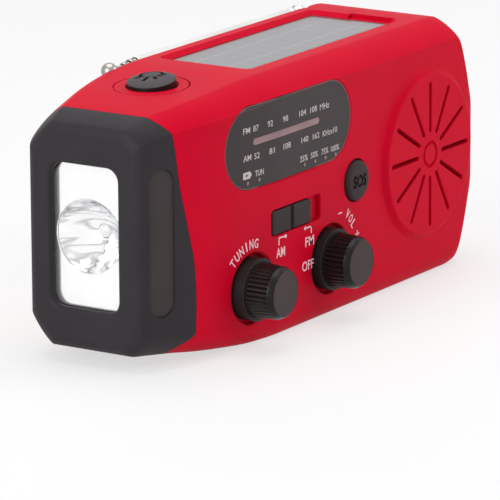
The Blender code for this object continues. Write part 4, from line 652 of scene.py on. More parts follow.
@dataclass(frozen=True)
class Finish:
    """How a surface looks.

    Attributes:
        name: Name of the material.
        colour: Base colour.
        roughness: Roughness in its middle.
        metallic: Whether the surface is metal.
        grain: Fine texture's cycles per metre.
        grain_depth: Height of the fine texture in metres.
        grain_strength: How strongly the fine texture disturbs the normal.
        drift: How far the colour drifts in broad patches, as a share.
        rough_drift: How far the roughness drifts.
        stretch: Scale of the grain along each axis, for brushed or turned surfaces.
        alpha: Opacity.
        coat: Weight of a clear coat.
        shine: Strength of the reflection on a surface that isn't metal.
    """

    name: str
    colour: Triple
    roughness: float = 0.5
    metallic: float = 0.0
    grain: float = 3000.0
    grain_depth: float = 0.00002
    grain_strength: float = 0.3
    drift: float = 0.06
    rough_drift: float = 0.06
    stretch: Triple | None = None
    alpha: float = 1.0
    coat: float = 0.0
    shine: float = 0.2

    def made(self) -> bpy.types.Material:
        """Return the material, made on first use."""
        name = "finish_" + self.name
        found = bpy.data.materials.get(name)
        if found:
            return found
        shading = Shading(name)
        self.paint(shading)
        return shading.material

    def paint(self, shading: Shading) -> None:
        """Colour drifts with a broad noise, and a fine noise roughens and dents the surface."""
        broad = shading.noise(90.0, 3.0)
        fine = shading.noise(self.grain, 2.0, self.stretch)
        dark = tuple(c * (1 - self.drift) for c in self.colour)
        light = tuple(min(c * (1 + self.drift), 1.0) for c in self.colour)
        drift = self.rough_drift
        shading.set(
            Base_Color=shading.mix(broad.between(0.35, 0.65), dark, light),
            Roughness=fine * drift + broad * drift + (self.roughness - drift),
            Metallic=self.metallic,
            Specular_IOR_Level=self.shine,
        )
        if self.coat:
            shading.set(Coat_Weight=self.coat)
        if self.alpha < 1:
            shading.set(Alpha=self.alpha)
        shading.bump(fine, self.grain_strength, self.grain_depth)


@dataclass(frozen=True)
class RippledBowl(Finish):
    """A vacuum-metallised bowl with soft rings and marks where the plastic flowed in moulding, carried by its
    bump, and darker streaks painted into its colour as reflections.
    """

    def paint(self, shading: Shading) -> None:
        """A slow noise, drawn out across the bowl, bends the reflections through the bump and paints darker
        reflection streaks into the colour.
        """
        super().paint(shading)
        ripple_and_painted_reflection = shading.noise(1.0, 1.5, (90.0, 75.0, 300.0))
        # Painted reflection: bands of darker grey mixed into the metal's colour stand in for the dark
        # reflections in the bowl
        painted_reflection_streak = 1.0 - (ripple_and_painted_reflection - 0.5).size().between(0.0, 0.045)
        shading.set(Base_Color=shading.mix(painted_reflection_streak * 0.75, self.colour, (0.40, 0.39, 0.40)))
        shading.bump(ripple_and_painted_reflection, 0.4, 0.0020)


@dataclass(frozen=True)
class SolarCells(Finish):
    """Dark cells under a clear sheet, with silver fingers and the seams between cells.

    Attributes:
        start: Where the row of cells begins along X.
        pitch: Width of one cell.
        middle: The panel's middle along Y.
        border: Half the length and half the depth of the field of cells.
    """

    start: float = 0.0
    pitch: float = 0.01
    middle: float = 0.0
    border: Pair = (0.03, 0.01)

    def paint(self, shading: Shading) -> None:
        """Thin bright lines repeat along X inside each cell, and a busbar crosses them."""
        x, y, _ = shading.axes()
        cell = ((x - self.start) / self.pitch).fraction()
        seam = 1.0 - (cell - 0.5).size().below(0.475)
        finger = ((x - self.start) / (self.pitch / 9)).fraction().below(0.16)
        busbar = ((y - self.middle).size() - 0.0046).size().below(0.0004)
        shade = shading.noise(160.0, 3.0)
        cells = shading.mix(shade, self.colour, tuple(c * 1.8 for c in self.colour))
        lines = shading.mix((finger + busbar).between(0.0, 1.0) * 0.12, cells, (0.45, 0.46, 0.50))
        width, depth = self.border
        inside = (y - self.middle).size().below(depth) * (x - self.start - width).size().below(width)
        sheet = shading.mix(seam * 0.4, lines, (0.22, 0.22, 0.24))
        shading.set(
            Base_Color=shading.mix(inside, (0.012, 0.012, 0.013), sheet),
            Roughness=shade * 0.08 + self.roughness,
            Coat_Weight=self.coat,
        )
        shading.bump(shading.noise(700.0, 2.0), 0.08, 0.00005)


@dataclass(frozen=True)
class TurnedChrome(Finish):
    """A drawn tube with fine lines along its length and a few faint scratches."""

    def paint(self, shading: Shading) -> None:
        """Long thin noise lines along X carry the roughness and the dents."""
        super().paint(shading)
        lines = shading.noise(1.0, 3.0, (60.0, 6000.0, 6000.0))
        shading.set(Roughness=lines * 0.18 + self.roughness)
        shading.bump(lines, 0.06, 0.00001)


RED = Finish("red_case", (0.60, 0.0012, 0.022), 0.46, shine=0.04, grain=5200.0, grain_depth=0.000012,
             drift=0.03)
BUMPER_RUBBER = Finish("bumper_rubber", (0.027, 0.023, 0.027), 0.52, shine=0.14, grain=3400.0,
                       grain_depth=0.00003)
INLAY_BLACK = Finish("inlay_black", (0.042, 0.032, 0.032), 0.40, grain=2600.0, grain_strength=0.10)
KNOB_BLACK = Finish("knob_black", (0.007, 0.005, 0.005), 0.30, shine=0.20, grain=2600.0)
KNOB_CAP = Finish("knob_cap", (0.058, 0.042, 0.041), 0.50, shine=0.1, grain=3600.0)
BUTTON_GREY = Finish("button_grey", (0.040, 0.028, 0.028), 0.58, shine=0.12, grain=3600.0)
ARM_BLACK = Finish("arm_black", (0.020, 0.020, 0.021), 0.28, coat=0.25, grain=2000.0, grain_strength=0.12)
DIAL_BROWN = Finish("dial_brown", (0.033, 0.023, 0.024), 0.36, grain=2600.0, grain_strength=0.10)
STRIP_PINK = Finish("strip_pink", (0.30, 0.185, 0.195), 0.30, grain=900.0, drift=0.12)
LAMP_PINK = Finish("lamp_pink", (0.26, 0.19, 0.19), 0.35, grain=900.0)
PRINT_WHITE = Finish("print_white", (0.56, 0.49, 0.50), 0.55, grain=6000.0)
PRINT_PINK = Finish("print_pink", (0.90, 0.60, 0.65), 0.55, grain=6000.0)
# Near-black fill for the floor of the SOS button's sunk letters
DARK_LETTER_FILL = Finish("print_dark", (0.008, 0.007, 0.007), 0.50, grain=6000.0)
# A pale colour for the dial's thin rim: a painted highlight where its edge catches light
PAINTED_RIM_HIGHLIGHT = Finish("dial_rim", (0.20, 0.09, 0.095), 0.40, grain=3000.0)
FLANGE_GREY = Finish("flange_grey", (0.018, 0.014, 0.014), 0.45, shine=0.15, grain=3000.0)
BUTTON_RUBBER = Finish("button_rubber", (0.050, 0.040, 0.043), 0.50, grain=3000.0)
NEEDLE = Finish("needle_orange", (0.75, 0.18, 0.10), 0.45)
FRAME_BLACK = Finish("solar_frame_black", (0.017, 0.017, 0.018), 0.36, grain=2400.0)
CHROME = TurnedChrome("aerial_chrome", (0.83, 0.82, 0.80), 0.10, 1.0)
PLATE_CHROME = Finish("reflector_plate", (0.98, 0.98, 0.98), 0.16, 1.0, grain_strength=0.03, drift=0.01)
# The bowl's metal carries painted reflections: darker bands in its colour
BOWL_CHROME = RippledBowl("reflector_bowl", (0.97, 0.97, 0.98), 0.12, 1.0, grain_strength=0.05, drift=0.02)
LENS_CLEAR = Finish("lens_clear", (0.96, 0.97, 0.98), 0.04, alpha=0.05, coat=1.0, grain_strength=0.02)
LAMP_CLEAR = Finish("lamp_clear", (0.93, 0.93, 0.97), 0.12, alpha=0.72, coat=0.3, grain_strength=0.02)
BALL_STEEL = TurnedChrome("ball_steel", (0.38, 0.35, 0.33), 0.20, 1.0)
LAMP_CHIP = Finish("lamp_chip", (0.90, 0.84, 0.55), 0.45)
STEEL = Finish("plain_steel", (0.52, 0.52, 0.53), 0.34, 1.0, stretch=(1.0, 0.15, 1.0), grain=5000.0)
SOCKET_STEEL = Finish("socket_steel", (0.66, 0.66, 0.66), 0.26, 1.0, stretch=(0.15, 1.0, 1.0), grain=5000.0)
BOARD = Finish("board_green", (0.020, 0.115, 0.050), 0.45, grain=1400.0, coat=0.3, drift=0.15)
WHITE_PLASTIC = Finish("white_plastic", (0.72, 0.72, 0.69), 0.48)
FERRITE = Finish("dark_ferrite", (0.045, 0.041, 0.041), 0.66, grain=1500.0, drift=0.2)
COPPER = Finish("copper_wire", (0.58, 0.24, 0.10), 0.30, 1.0, stretch=(8.0, 1.0, 1.0), grain=700.0,
                grain_depth=0.0001)
CONE_PAPER = Finish("cone_paper", (0.035, 0.033, 0.033), 0.88, grain=1800.0, grain_depth=0.00006)
CELL_SLEEVE = Finish("cell_sleeve", (0.035, 0.11, 0.38), 0.35, coat=0.3)
SOCKET_BLACK = Finish("socket_black", (0.015, 0.015, 0.016), 0.50)

PLAIN_SLOTS = {
    "case_red": RED, "rubber_black": BUMPER_RUBBER, "plastic_black": FRAME_BLACK, "dial_brown": DIAL_BROWN,
    "clear": LENS_CLEAR, "reflector_chrome": BOWL_CHROME, "aerial_chrome": CHROME, "steel": STEEL,
    "solar_glass": FRAME_BLACK, "board_green": BOARD, "white_plastic": WHITE_PLASTIC, "ferrite": FERRITE,
    "copper": COPPER, "cone_paper": CONE_PAPER, "cell_blue": CELL_SLEEVE, "needle_orange": NEEDLE,
}


def dress(piece: Piece, finish: Finish, body: str, stands_for: Sequence[str] = ()) -> Piece:
    """Give a piece its finish, its body and the nodes that it stands for.

    Args:
        piece: The piece.
        finish: Its finish.
        body: The body that it rides on.
        stands_for: CAD nodes that it replaces.

    Returns:
        The piece.
    """
    piece.data.materials.clear()
    piece.data.materials.append(finish.made())
    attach(piece, body)
    if stands_for:
        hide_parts(*stands_for)
    LOG.info("%s on %s: %d faces", piece.name, body, len(piece.data.polygons))
    return piece


def corners(node: str) -> tuple[Array, Array]:
    """Return the lowest and highest corner of a CAD node at rest."""
    low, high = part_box(node)
    return np.array(low, dtype=float), np.array(high, dtype=float)


def middle(node: str) -> Array:
    """Return the middle of a CAD node's box at rest."""
    low, high = corners(node)
    return (low + high) / 2


def joint_place(name: str) -> Array:
    """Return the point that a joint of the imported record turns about."""
    rows = {row["name"]: row for row in frame["record"]["behaviour"]["joints"]}
    return np.array(rows[name]["pos_m"], dtype=float)


def monotone(places: Array, table: Array, at: Array, level_ends: bool = False) -> Array:
    """Read a table along a smooth curve that never overshoots its rows.

    The slope at a row is the harmonic mean of the slopes on both sides, or zero at a turn, and a
    cubic joins each row to the next.

    Args:
        places: Where the rows stand, rising.
        table: One row of values per place.
        at: The places to read.
        level_ends: Whether the first column ends with a slope of zero.

    Returns:
        One row of values per place that was asked for.
    """
    steps = np.diff(places)[:, None]
    rises = np.diff(table, axis=0) / steps
    before, after = rises[:-1], rises[1:]
    near = 2 * steps[1:] + steps[:-1]
    far = steps[1:] + 2 * steps[:-1]
    with np.errstate(divide="ignore", invalid="ignore"):
        mean = (near + far) / (near / before + far / after)
    slopes = np.vstack([rises[:1], np.where(before * after > 0, mean, 0.0), rises[-1:]])
    if level_ends:
        slopes[[0, -1], 0] = 0.0
    row = np.clip(np.searchsorted(places, at, side="right") - 1, 0, len(places) - 2)
    width = steps[row]
    t = np.clip((at - places[row])[:, None] / width, 0.0, 1.0)
    low = table[row] * (1 + 2 * t) * (1 - t) ** 2 + slopes[row] * width * t * (1 - t) ** 2
    high = table[row + 1] * t * t * (3 - 2 * t) + slopes[row + 1] * width * t * t * (t - 1)
    return low + high


# Where along Y the cutters of the front face end
FRONT_REACH = -0.008


@dataclass
class CaseForm:
    """The case's outer form: an outline with four unlike corners that swells along the length.

    Attributes:
        length: Size along X.
        depth: Size along Y.
        height: Size along Z.
        rows: Along the length, as shares: place, front, back, bottom and top.
        nose_corners: Near the torch, each corner's share of the depth and of the height, and the
            power of its curve.
        body_corners: The same over the rest of the case.
        end_corners: The same at the speaker end.
        blend: Where the nose's corners change to the body's, as shares of the length.
        end_blend: Where the body's corners change to the end's.
        hold: How far beside a corner the flat side is held flat.
        give: How much of an inset a corner's curve gives up.
    """

    length: float = 0.1323
    depth: float = 0.04568
    height: float = 0.0592
    rows: tuple[tuple[float, ...], ...] = (
        (-0.500, 0.547, 0.547, 0.101, 0.878), (-0.494, 0.639, 0.630, 0.071, 0.912),
        (-0.484, 0.674, 0.666, 0.057, 0.927), (-0.454, 0.744, 0.727, 0.049, 0.948),
        (-0.407, 0.849, 0.832, 0.039, 0.963), (-0.355, 0.919, 0.911, 0.025, 0.975),
        (-0.295, 0.963, 0.963, 0.015, 0.983), (-0.227, 0.985, 0.990, 0.005, 0.993),
        (-0.151, 1.000, 1.000, 0.000, 1.000), (0.401, 1.000, 1.000, 0.000, 1.000),
        (0.435, 1.000, 1.000, 0.010, 0.995), (0.457, 1.000, 0.990, 0.048, 0.955),
        (0.4735, 0.994, 0.972, 0.125, 0.860), (0.4875, 0.963, 0.937, 0.210, 0.745),
        (0.495, 0.919, 0.902, 0.280, 0.665), (0.500, 0.845, 0.841, 0.350, 0.595),
    )
    nose_corners: tuple[tuple[float, ...], ...] = (
        (0.148, 0.070, 1.3), (0.215, 0.126, 1.2), (0.180, 0.130, 1.2), (0.145, 0.098, 1.3),
    )
    body_corners: tuple[tuple[float, ...], ...] = (
        (0.160, 0.078, 1.3), (0.165, 0.405, 1.9), (0.219, 0.169, 1.6), (0.048, 0.068, 1.7),
    )
    end_corners: tuple[tuple[float, ...], ...] = (
        (0.185, 0.250, 1.5), (0.165, 0.405, 1.9), (0.219, 0.169, 1.6), (0.110, 0.250, 1.6),
    )
    blend: Pair = (-0.45, -0.22)
    end_blend: Pair = (0.430, 0.482)
    hold: float = 0.0008
    give: float = 0.6
    dense: Array = field(init=False)

    def __post_init__(self) -> None:
        """Read the rows along their own length, closely."""
        self.dense = self.read(8)

    def read(self, parts: int) -> Array:
        """Return the rows with more rows between them, spaced by how far the outline travels."""
        table = np.array(self.rows)
        real = table * np.array([self.length, self.depth / 2, self.depth / 2, self.height, self.height])
        travel = np.linalg.norm(np.diff(real, axis=0), axis=1)
        places = np.concatenate([[0.0], np.cumsum(travel)])
        at = np.interp(np.arange((len(table) - 1) * parts + 1) / parts, np.arange(len(table)), places)
        return monotone(places, table, at, level_ends=True)

    def front(self, x: Array) -> Array:
        """Return where the front face lies along Y at places along X."""
        return -np.interp(x, self.dense[:, 0] * self.length, self.dense[:, 1]) * self.depth / 2

    def top(self, x: Array) -> Array:
        """Return where the top lies along Z at places along X."""
        return np.interp(x, self.dense[:, 0] * self.length, self.dense[:, 4]) * self.height

    def rings(self, inset: float, parts: int, steps: tuple[int, ...]) -> Array:
        """Outlines across the length, each corner a curve whose cosine and sine share one power.

        Args:
            inset: How far the form is drawn in.
            parts: Rows between two rows of the table.
            steps: Steps in each corner.

        Returns:
            The points, as rows by columns by three.
        """
        place, front, back, low, high = self.read(parts).T[:, :, None]
        y0, y1 = -front * self.depth / 2, back * self.depth / 2
        z0, z1 = low * self.height, high * self.height
        early, late = (np.clip((place - a) / (b - a), 0.0, 1.0)
                       for a, b in (self.blend, self.end_blend))
        early, late = (t * t * (3 - 2 * t) for t in (early, late))
        columns = []
        for number, (side_y, side_z) in enumerate(((-1, 1), (1, 1), (1, -1), (-1, -1))):
            nose, body, end = (np.array(rows[number]) for rows in (
                self.nose_corners, self.body_corners, self.end_corners))
            across_share, up_share, power = (
                nose[i] + (body[i] - nose[i]) * early + (end[i] - body[i]) * late for i in range(3))
            given = self.give * inset
            across = np.maximum(across_share * (y1 - y0) - given, given)
            upward = np.maximum(up_share * (z1 - z0) - given, given)
            centre_y = np.where(side_y < 0, y0 + inset + across, y1 - inset - across)
            centre_z = np.where(side_z < 0, z0 + inset + upward, z1 - inset - upward)
            angle = (QUARTER * np.arange(steps[number] + 1) / steps[number])[None, :]
            y = centre_y + side_y * across * np.cos(angle).clip(0) ** (2 / power)
            z = centre_z + side_z * upward * np.sin(angle).clip(0) ** (2 / power)
            y = np.concatenate([y[:, :1], y, y[:, -1:] - side_y * self.hold], axis=1)
            z = np.concatenate([z[:, :1] - side_z * self.hold, z, z[:, -1:]], axis=1)
            if number in (1, 3):
                y, z = y[:, ::-1], z[:, ::-1]
            x = np.broadcast_to(place * (self.length - 2 * inset), y.shape)
            columns.append(np.stack([x, y, z], axis=-1))
        return np.concatenate(columns, axis=1)

    def drape(self, name: str, outline: Outline, sunk: float, thick: float) -> Piece:
        """Return a sheet under an outline that follows the front, sunk under it by a length."""
        sheet = loft(name, outline, straight(-FAR, FRONT_REACH), Axis.Y)
        combine(sheet, [self.fine("face", sunk)], How.KEEP)
        return combine(sheet, [self.fine("under", sunk + thick)], How.CUT)

    def fine(self, name: str, inset: float = 0.0) -> Piece:
        """Return the form with many points, for surfaces that show."""
        return surface(name, self.rings(inset, 8, (10, 16, 10, 10)))

    def plain(self, name: str, inset: float) -> Piece:
        """Return the form with few points, for hollows."""
        return surface(name, self.rings(inset, 2, (4, 6, 4, 3)))


# What the case and the pieces in it share: the SOS button's shift along X, the dial's middle, its
# width, height and corner radius, and the joints of the two knobs
SOS_SHIFT = 0.0005
DIAL_MIDDLE = (-0.0169, 0.0455)
DIAL_SIZE = (0.0507, 0.0188, 0.0092)
KNOB_JOINTS = ("tuning_turn", "volume_turn")


@dataclass
class Case:
    """The red case in two halves, and all the pockets that cross or pierce them.

    Attributes:
        form: The outer form.
        wall: Thickness of the wall.
        parting: Where the halves part along Y.
        edge_shares: The bumper's rear edge, as height and place shares.
        bay_top, bay_left, bay_depth: Upper edge, left end and depth of the crank's bay.
        lip_rise: How far the bay's upper wall rises towards its mouth.
        scoop_x, scoop_low, scoop_depth, scoop_round: The finger scoop's left end, lower edge, depth
            under the bay's floor and rounding.
        rebate_width, rebate_wall, rebate_end: How far the aerial's ledge lies under its hinge, in
            front of it and beyond it.
        tub_wall: Thickness of the solar tub's floor over the clearance.
        tub_flare, flare_rise: How far the solar tub widens, and how high over the glass.
        notch_x, notch_y: The tub's notch, from the solar frame's rear right corner.
        port_low, port_high, port_recess, port_round: Two corners of the ports' recess, its depth and
            the radius of its corners.
        port_depth, jack_radius: Depth of the sockets' holes and radius of the round one.
        strap_low, strap_high, strap_bar: The strap's notch, and its bar's place and radius.
        grille_middle, grille_top, grille_foot, grille_raise, grille_flat: The raised disc's middle,
            the radii of its edge above and below, its height and the radius that stays flat.
        slot_reach, slot_width, slots, slot_depth: The grille's slots.
        groove: The ring groove's outline, as depth under the face and radius.
        seat_depth, seat_edge: Depth of the dial's opening and the radius of its edge.
        mouth_edge: Radius of the edges round the knobs' recesses and the ports.
        knob_recess, knob_recess_depth, boss_wall: The knobs' recesses and the wall round them.
        shaft_hole, shaft_depth: Radius of the knobs' shaft holes and where they start.
        switch_size, switch_recess, slider_size, front_depth: The band switch's recess and slot.
        press_hole: Radius of the hole of the SOS button.
        button_ring, ring_half, ring_depth, hole_depth: The ring line round the power button, and
            the depth of the button's hole.
        post_radius, well_radius, well_depth: The screws' posts and wells.
        hub_hole, swivel_hole: Radius and depth of the holes for the crank and for the aerial.
    """

    form: CaseForm
    wall: float = 0.002
    parting: float = 0.003
    edge_shares: tuple[Pair, ...] = (
        (-0.100, -0.420), (0.060, -0.419), (0.118, -0.393), (0.253, -0.391), (0.372, -0.394),
        (0.507, -0.4055), (0.676, -0.422), (0.895, -0.437), (0.963, -0.450), (1.100, -0.450),
    )
    bay_top: float = 0.0337
    bay_left: float = -0.0302
    bay_depth: float = 0.00464
    lip_rise: float = 0.0017
    scoop_x: float = 0.0335
    scoop_low: float = 0.0070
    scoop_depth: float = 0.0089
    scoop_round: float = 0.0067
    rebate_width: float = 0.0028
    rebate_wall: float = 0.00165
    rebate_end: float = 0.00565
    tub_wall: float = 0.0011
    tub_flare: float = 0.0014
    flare_rise: float = 0.0010
    notch_x: Pair = (-0.001, 0.0026)
    notch_y: Pair = (-0.0212, -0.0094)
    port_low: Pair = (-0.0101, 0.0125)
    port_high: Pair = (0.0016, 0.0462)
    port_recess: float = 0.0030
    port_round: float = 0.0012
    port_depth: float = 0.006
    jack_radius: float = 0.0021
    strap_low: Pair = (-0.0066, -0.0043)
    strap_high: Pair = (0.0024, 0.0070)
    strap_bar: Triple = (0.004, 0.005, 0.0009)
    grille_middle: Pair = (0.0422, 0.0296)
    grille_top: float = 0.0187
    grille_foot: float = 0.0206
    grille_raise: float = 0.0012
    grille_flat: float = 0.012
    slot_reach: Pair = (0.0052, 0.0173)
    slot_width: float = 0.0010
    slots: int = 12
    slot_depth: float = 0.006
    groove: tuple[Pair, ...] = (
        (0.0006, 0.0028), (0.0005, 0.0030), (0.0001, 0.0032), (-0.001, 0.0034), (-0.001, 0.0022),
        (0.0001, 0.0024), (0.0005, 0.0026),
    )
    seat_depth: float = 0.0035
    seat_edge: float = 0.00035
    mouth_edge: float = 0.0004
    knob_recess: float = 0.0081
    knob_recess_depth: float = 0.0019
    boss_wall: float = 0.0012
    shaft_hole: float = 0.003
    shaft_depth: float = -0.012
    switch_size: Triple = (0.0206, 0.0060, 0.0010)
    switch_recess: float = 0.0012
    slider_size: Triple = (0.0076, 0.0036, 0.0003)
    front_depth: float = 0.004
    press_hole: float = 0.0050
    button_ring: float = 0.0085
    ring_half: float = 0.0001
    ring_depth: float = 0.0008
    hole_depth: float = 0.004
    post_radius: float = 0.0038
    well_radius: float = 0.0027
    well_depth: float = 0.0019
    hub_hole: Pair = (0.0028, 0.004)
    swivel_hole: Pair = (0.0024, 0.010)

    def back(self) -> float:
        """Return where the bay's floor lies along Y."""
        return self.form.depth / 2 - self.bay_depth

    def nose(self, name: str, shift: float) -> Piece:
        """Everything on the torch side of the bumper's rear edge, moved back by a shift."""
        edge = np.array(self.edge_shares)
        heights = np.linspace(edge[0, 0], edge[-1, 0], 61)
        places = monotone(edge[:, 0], edge[:, 1:], heights)[:, 0] * self.form.length + shift
        outline = np.column_stack([places, heights * self.form.height])
        outline = np.vstack([[-FAR, outline[-1, 1]], [-FAR, outline[0, 1]], outline])
        return loft(name, lambda grow: outline, straight(-FAR, FAR), Axis.Y)

    def bay(self, grow: float) -> Piece:
        """The crank bay: a slanted lip above, open below and towards the speaker end."""
        floor, lip = self.back() - grow, self.form.depth
        rise = self.lip_rise * (lip - floor) / self.bay_depth
        top = self.bay_top + grow
        outline = np.array([(floor, -FAR), (lip, -FAR), (lip, top + rise), (floor, top)])
        return loft("bay", lambda g: outline, straight(self.bay_left - grow, FAR), Axis.X)

    def scoop(self, grow: float) -> Piece:
        """The finger scoop: a pocket with round corners, deeper than the bay."""
        low, high = self.scoop_low - grow, self.bay_top + grow
        floor, deep = self.back(), self.back() - self.scoop_depth - grow
        angle = np.linspace(0, QUARTER, 9)
        y = floor - (floor - deep) * np.sin(angle)
        rise = self.scoop_round * (1 - np.cos(angle))
        arc = np.concatenate([np.column_stack([y, low + rise]), np.column_stack([y, high - rise])[::-1]])
        outline = np.vstack([arc, [(self.form.depth, high), (self.form.depth, low)]])
        return loft("scoop", lambda g: outline, straight(self.scoop_x - grow, FAR), Axis.X)

    def rebate(self, grow: float) -> Piece:
        """The ledge for the aerial along the top rear edge, open upwards and to the back."""
        pivot = joint_place("aerial_tilt")
        low = (-FAR, pivot[1] - self.rebate_wall - grow, pivot[2] - self.rebate_width - grow)
        return bar("rebate", low, (pivot[0] + self.rebate_end + grow, FAR, FAR))

    def tub(self, grow: float, deeper: float = 0.0) -> Piece:
        """The tub in the top that holds the solar frame."""
        low, high = corners("solar_frame")
        spare = GAP + grow
        centre, size = (low + high) / 2, high - low + 2 * spare
        outline = rectangle(Axis.Z.across(centre), size[0], size[1], EDGE, 2)
        glass = corners("solar_panel")[1][2]
        sill = glass - 0.0001
        levels = straight(low[2] - GAP - deeper, sill)
        levels += [(glass + self.flare_rise, self.tub_flare), (FAR, self.tub_flare)]
        tub = loft("tub", outline, levels, Axis.Z)
        (left, right), (near, far) = self.notch_x, self.notch_y
        notch = bar("notch", (high[0] + left, high[1] + near, sill), (high[0] + right, high[1] + far, FAR))
        return combine(tub, [notch], How.JOIN)

    def ports(self, grow: float) -> Piece:
        """The recess of the ports in the speaker end, with a rounded mouth."""
        centre = tuple((a + b) / 2 for a, b in zip(self.port_low, self.port_high))
        width, height = (b - a for a, b in zip(self.port_low, self.port_high))
        floor = self.form.length / 2 - self.port_recess - grow
        outline = rectangle(centre, width + 2 * grow, height + 2 * grow, self.port_round + grow)
        levels = opening(floor, self.form.length / 2, 1, self.mouth_edge, FAR)
        return loft("ports", outline, levels, Axis.X)

    def strap(self, grow: float) -> Piece:
        """The wrist strap's notch at the lower edge of the speaker end."""
        low = (self.form.length / 2 + self.strap_low[0] - grow, self.strap_low[1] - grow, -FAR)
        return bar("strap", low, (FAR, self.strap_high[0] + grow, self.strap_high[1] + grow))

    def pockets(self, grow: float, deeper: float = 0.0) -> list[Piece]:
        """Return the pockets that both halves and the hollow share."""
        return [
            self.bay(grow), self.scoop(grow), self.rebate(grow), self.tub(grow, deeper), self.ports(grow),
            self.strap(grow),
        ]

    def blank(self) -> Piece:
        """Return the whole case: the form less its hollow, its pockets and the bumper's zone."""
        hollow = self.form.plain("hollow", self.wall)
        combine(hollow, self.pockets(self.wall, self.tub_wall), How.CUT)
        case = combine(self.form.fine("case"), [hollow, self.nose("nose", SEAM / 2)], How.CUT)
        combine(case, self.pockets(0.0), How.CUT)
        low, high = corners("power_button")
        at = Axis.Z.across((low + high) / 2)
        top = float(self.form.top(at[0]))
        levels = opening(top - self.hole_depth, top, 1, EDGE)
        hole = loft("hole", disc(at, (high[0] - low[0]) / 2 + GAP), levels, Axis.Z)
        profile = [(top + rise, self.button_ring + half) for rise, half in (
            (-self.ring_depth, -self.ring_half), (-self.ring_depth, self.ring_half),
            (2 * OVER, 3 * self.ring_half), (2 * OVER, -3 * self.ring_half))]
        return combine(case, [hole, lathe("ring", profile, Axis.Z, at, 96, closed=True)], How.CUT)

    def side(self, name: str, direction: int) -> Piece:
        """Return the box that holds one side of the parting plane."""
        edge = self.parting + direction * SEAM / 2
        low, high = sorted((edge, direction * FAR))
        return bar(name, (-FAR, low, -FAR), (FAR, high, FAR))

    def grille(self) -> Piece:
        """The raised disc: its height falls from the top's edge to the foot along an S-curve."""
        centre = self.grille_middle
        front = -self.form.depth / 2
        face = front - self.grille_raise
        share = np.linspace(0, 1, 13)
        radius = self.grille_top + (self.grille_foot - self.grille_top) * share
        height = self.grille_raise * (1 - share * share * (3 - 2 * share)) - 0.00003 * share
        profile = [(front + OVER, 0.0), (face, 0.0), (face, self.grille_flat)]
        profile += [(front - h, r) for r, h in zip(radius, height)]
        profile += [(front + OVER, self.grille_foot)]

        def follow(points: Array) -> Array:
            """Let the rim follow the case where its front falls away."""
            reach = np.hypot(points[:, 0] - centre[0], points[:, 2] - centre[1])
            weight = np.clip((reach - self.grille_flat) / (self.grille_foot - self.grille_flat), 0, 1)
            points[:, 1] += (self.form.front(points[:, 0]) - front) * weight
            return points

        return bent(lathe("grille_disc", profile[::-1], Axis.Y, centre, 128), follow)

    def grille_cuts(self) -> list[Piece]:
        """The radial slots, round at both ends with rounded mouths, and the groove round the middle."""
        centre = self.grille_middle
        face = -self.form.depth / 2 - self.grille_raise
        low, high = self.slot_reach
        bare = rectangle(((low + high) / 2, 0.0), high - low, self.slot_width, self.slot_width / 2, 6)
        cuts = []
        for number in range(self.slots):
            turn = math.tau * number / self.slots
            matrix = np.array([[math.cos(turn), -math.sin(turn)], [math.sin(turn), math.cos(turn)]])

            def outline(grow: float, matrix: Array = matrix) -> Array:
                """Return the slot, turned to its place."""
                return bare(grow) @ matrix.T + np.array(centre)

            cuts.append(loft("slot", outline, opening(face + self.slot_depth, face, -1, 0.0002), Axis.Y))
        profile = [(face + depth, radius) for depth, radius in self.groove]
        return cuts + [lathe("groove", profile, Axis.Y, centre, 64, closed=True)]

    def front_cuts(self) -> list[Piece]:
        """The openings of the front: dial, knobs, switch and press button, with rounded mouths."""
        front = self.form.front
        width, height, corner = DIAL_SIZE
        seat = rectangle(DIAL_MIDDLE, width + SEAM, height + SEAM, corner, 20)
        cuts = [loft("seat", seat, opening(self.seat_depth, 0.0, -1, self.seat_edge), Axis.Y, front)]
        for name in KNOB_JOINTS:
            at = Axis.Y.across(joint_place(name))
            face = float(front(at[0]))
            levels = opening(face + self.knob_recess_depth, face, -1, self.mouth_edge, -FAR)
            cuts.append(loft("recess", disc(at, self.knob_recess), levels, Axis.Y))
            cuts.append(rod("shaft", at, self.shaft_hole, (self.shaft_depth, -FAR), Axis.Y))
        slide = Axis.Y.across(middle("band_switch"))
        face = -self.form.depth / 2
        wide = rectangle(slide, *self.switch_size, 5)
        cuts.append(loft("switch", wide, opening(face + self.switch_recess, face, -1, EDGE), Axis.Y))
        narrow = rectangle(slide, *self.slider_size, 2)
        cuts.append(loft("switch_slot", narrow, straight(face + self.front_depth, face), Axis.Y))
        x, z = Axis.Y.across(middle("sos_button"))
        levels = opening(face + self.front_depth, face, -1, 0.00025)
        cuts.append(loft("press", disc((x + SOS_SHIFT, z), self.press_hole), levels, Axis.Y))
        return cuts

    def port_cuts(self) -> list[Piece]:
        """The holes in the recess floor that the three sockets show through."""
        floor = self.form.length / 2 - self.port_recess
        levels = opening(floor - self.port_depth, floor, 1, EDGE)
        cuts = []
        for node in ("usb_socket", "charge_socket"):
            low, high = corners(node)
            width, height = (high - low)[1:] + 2 * GAP
            outline = rectangle(Axis.X.across((low + high) / 2), width, height, 0.0006, 3)
            cuts.append(loft("port", outline, levels, Axis.X))
        jack = (middle("usb_socket")[1], middle("jack_socket")[2])
        return cuts + [loft("jack", disc(jack, self.jack_radius, 48), levels, Axis.X)]

    def half(self, name: str, case: Piece, direction: int) -> Piece:
        """Return a copy of the case without the side of the parting plane in a direction."""
        return combine(linked(name, case.data.copy()), [self.side("side", direction)], How.CUT)

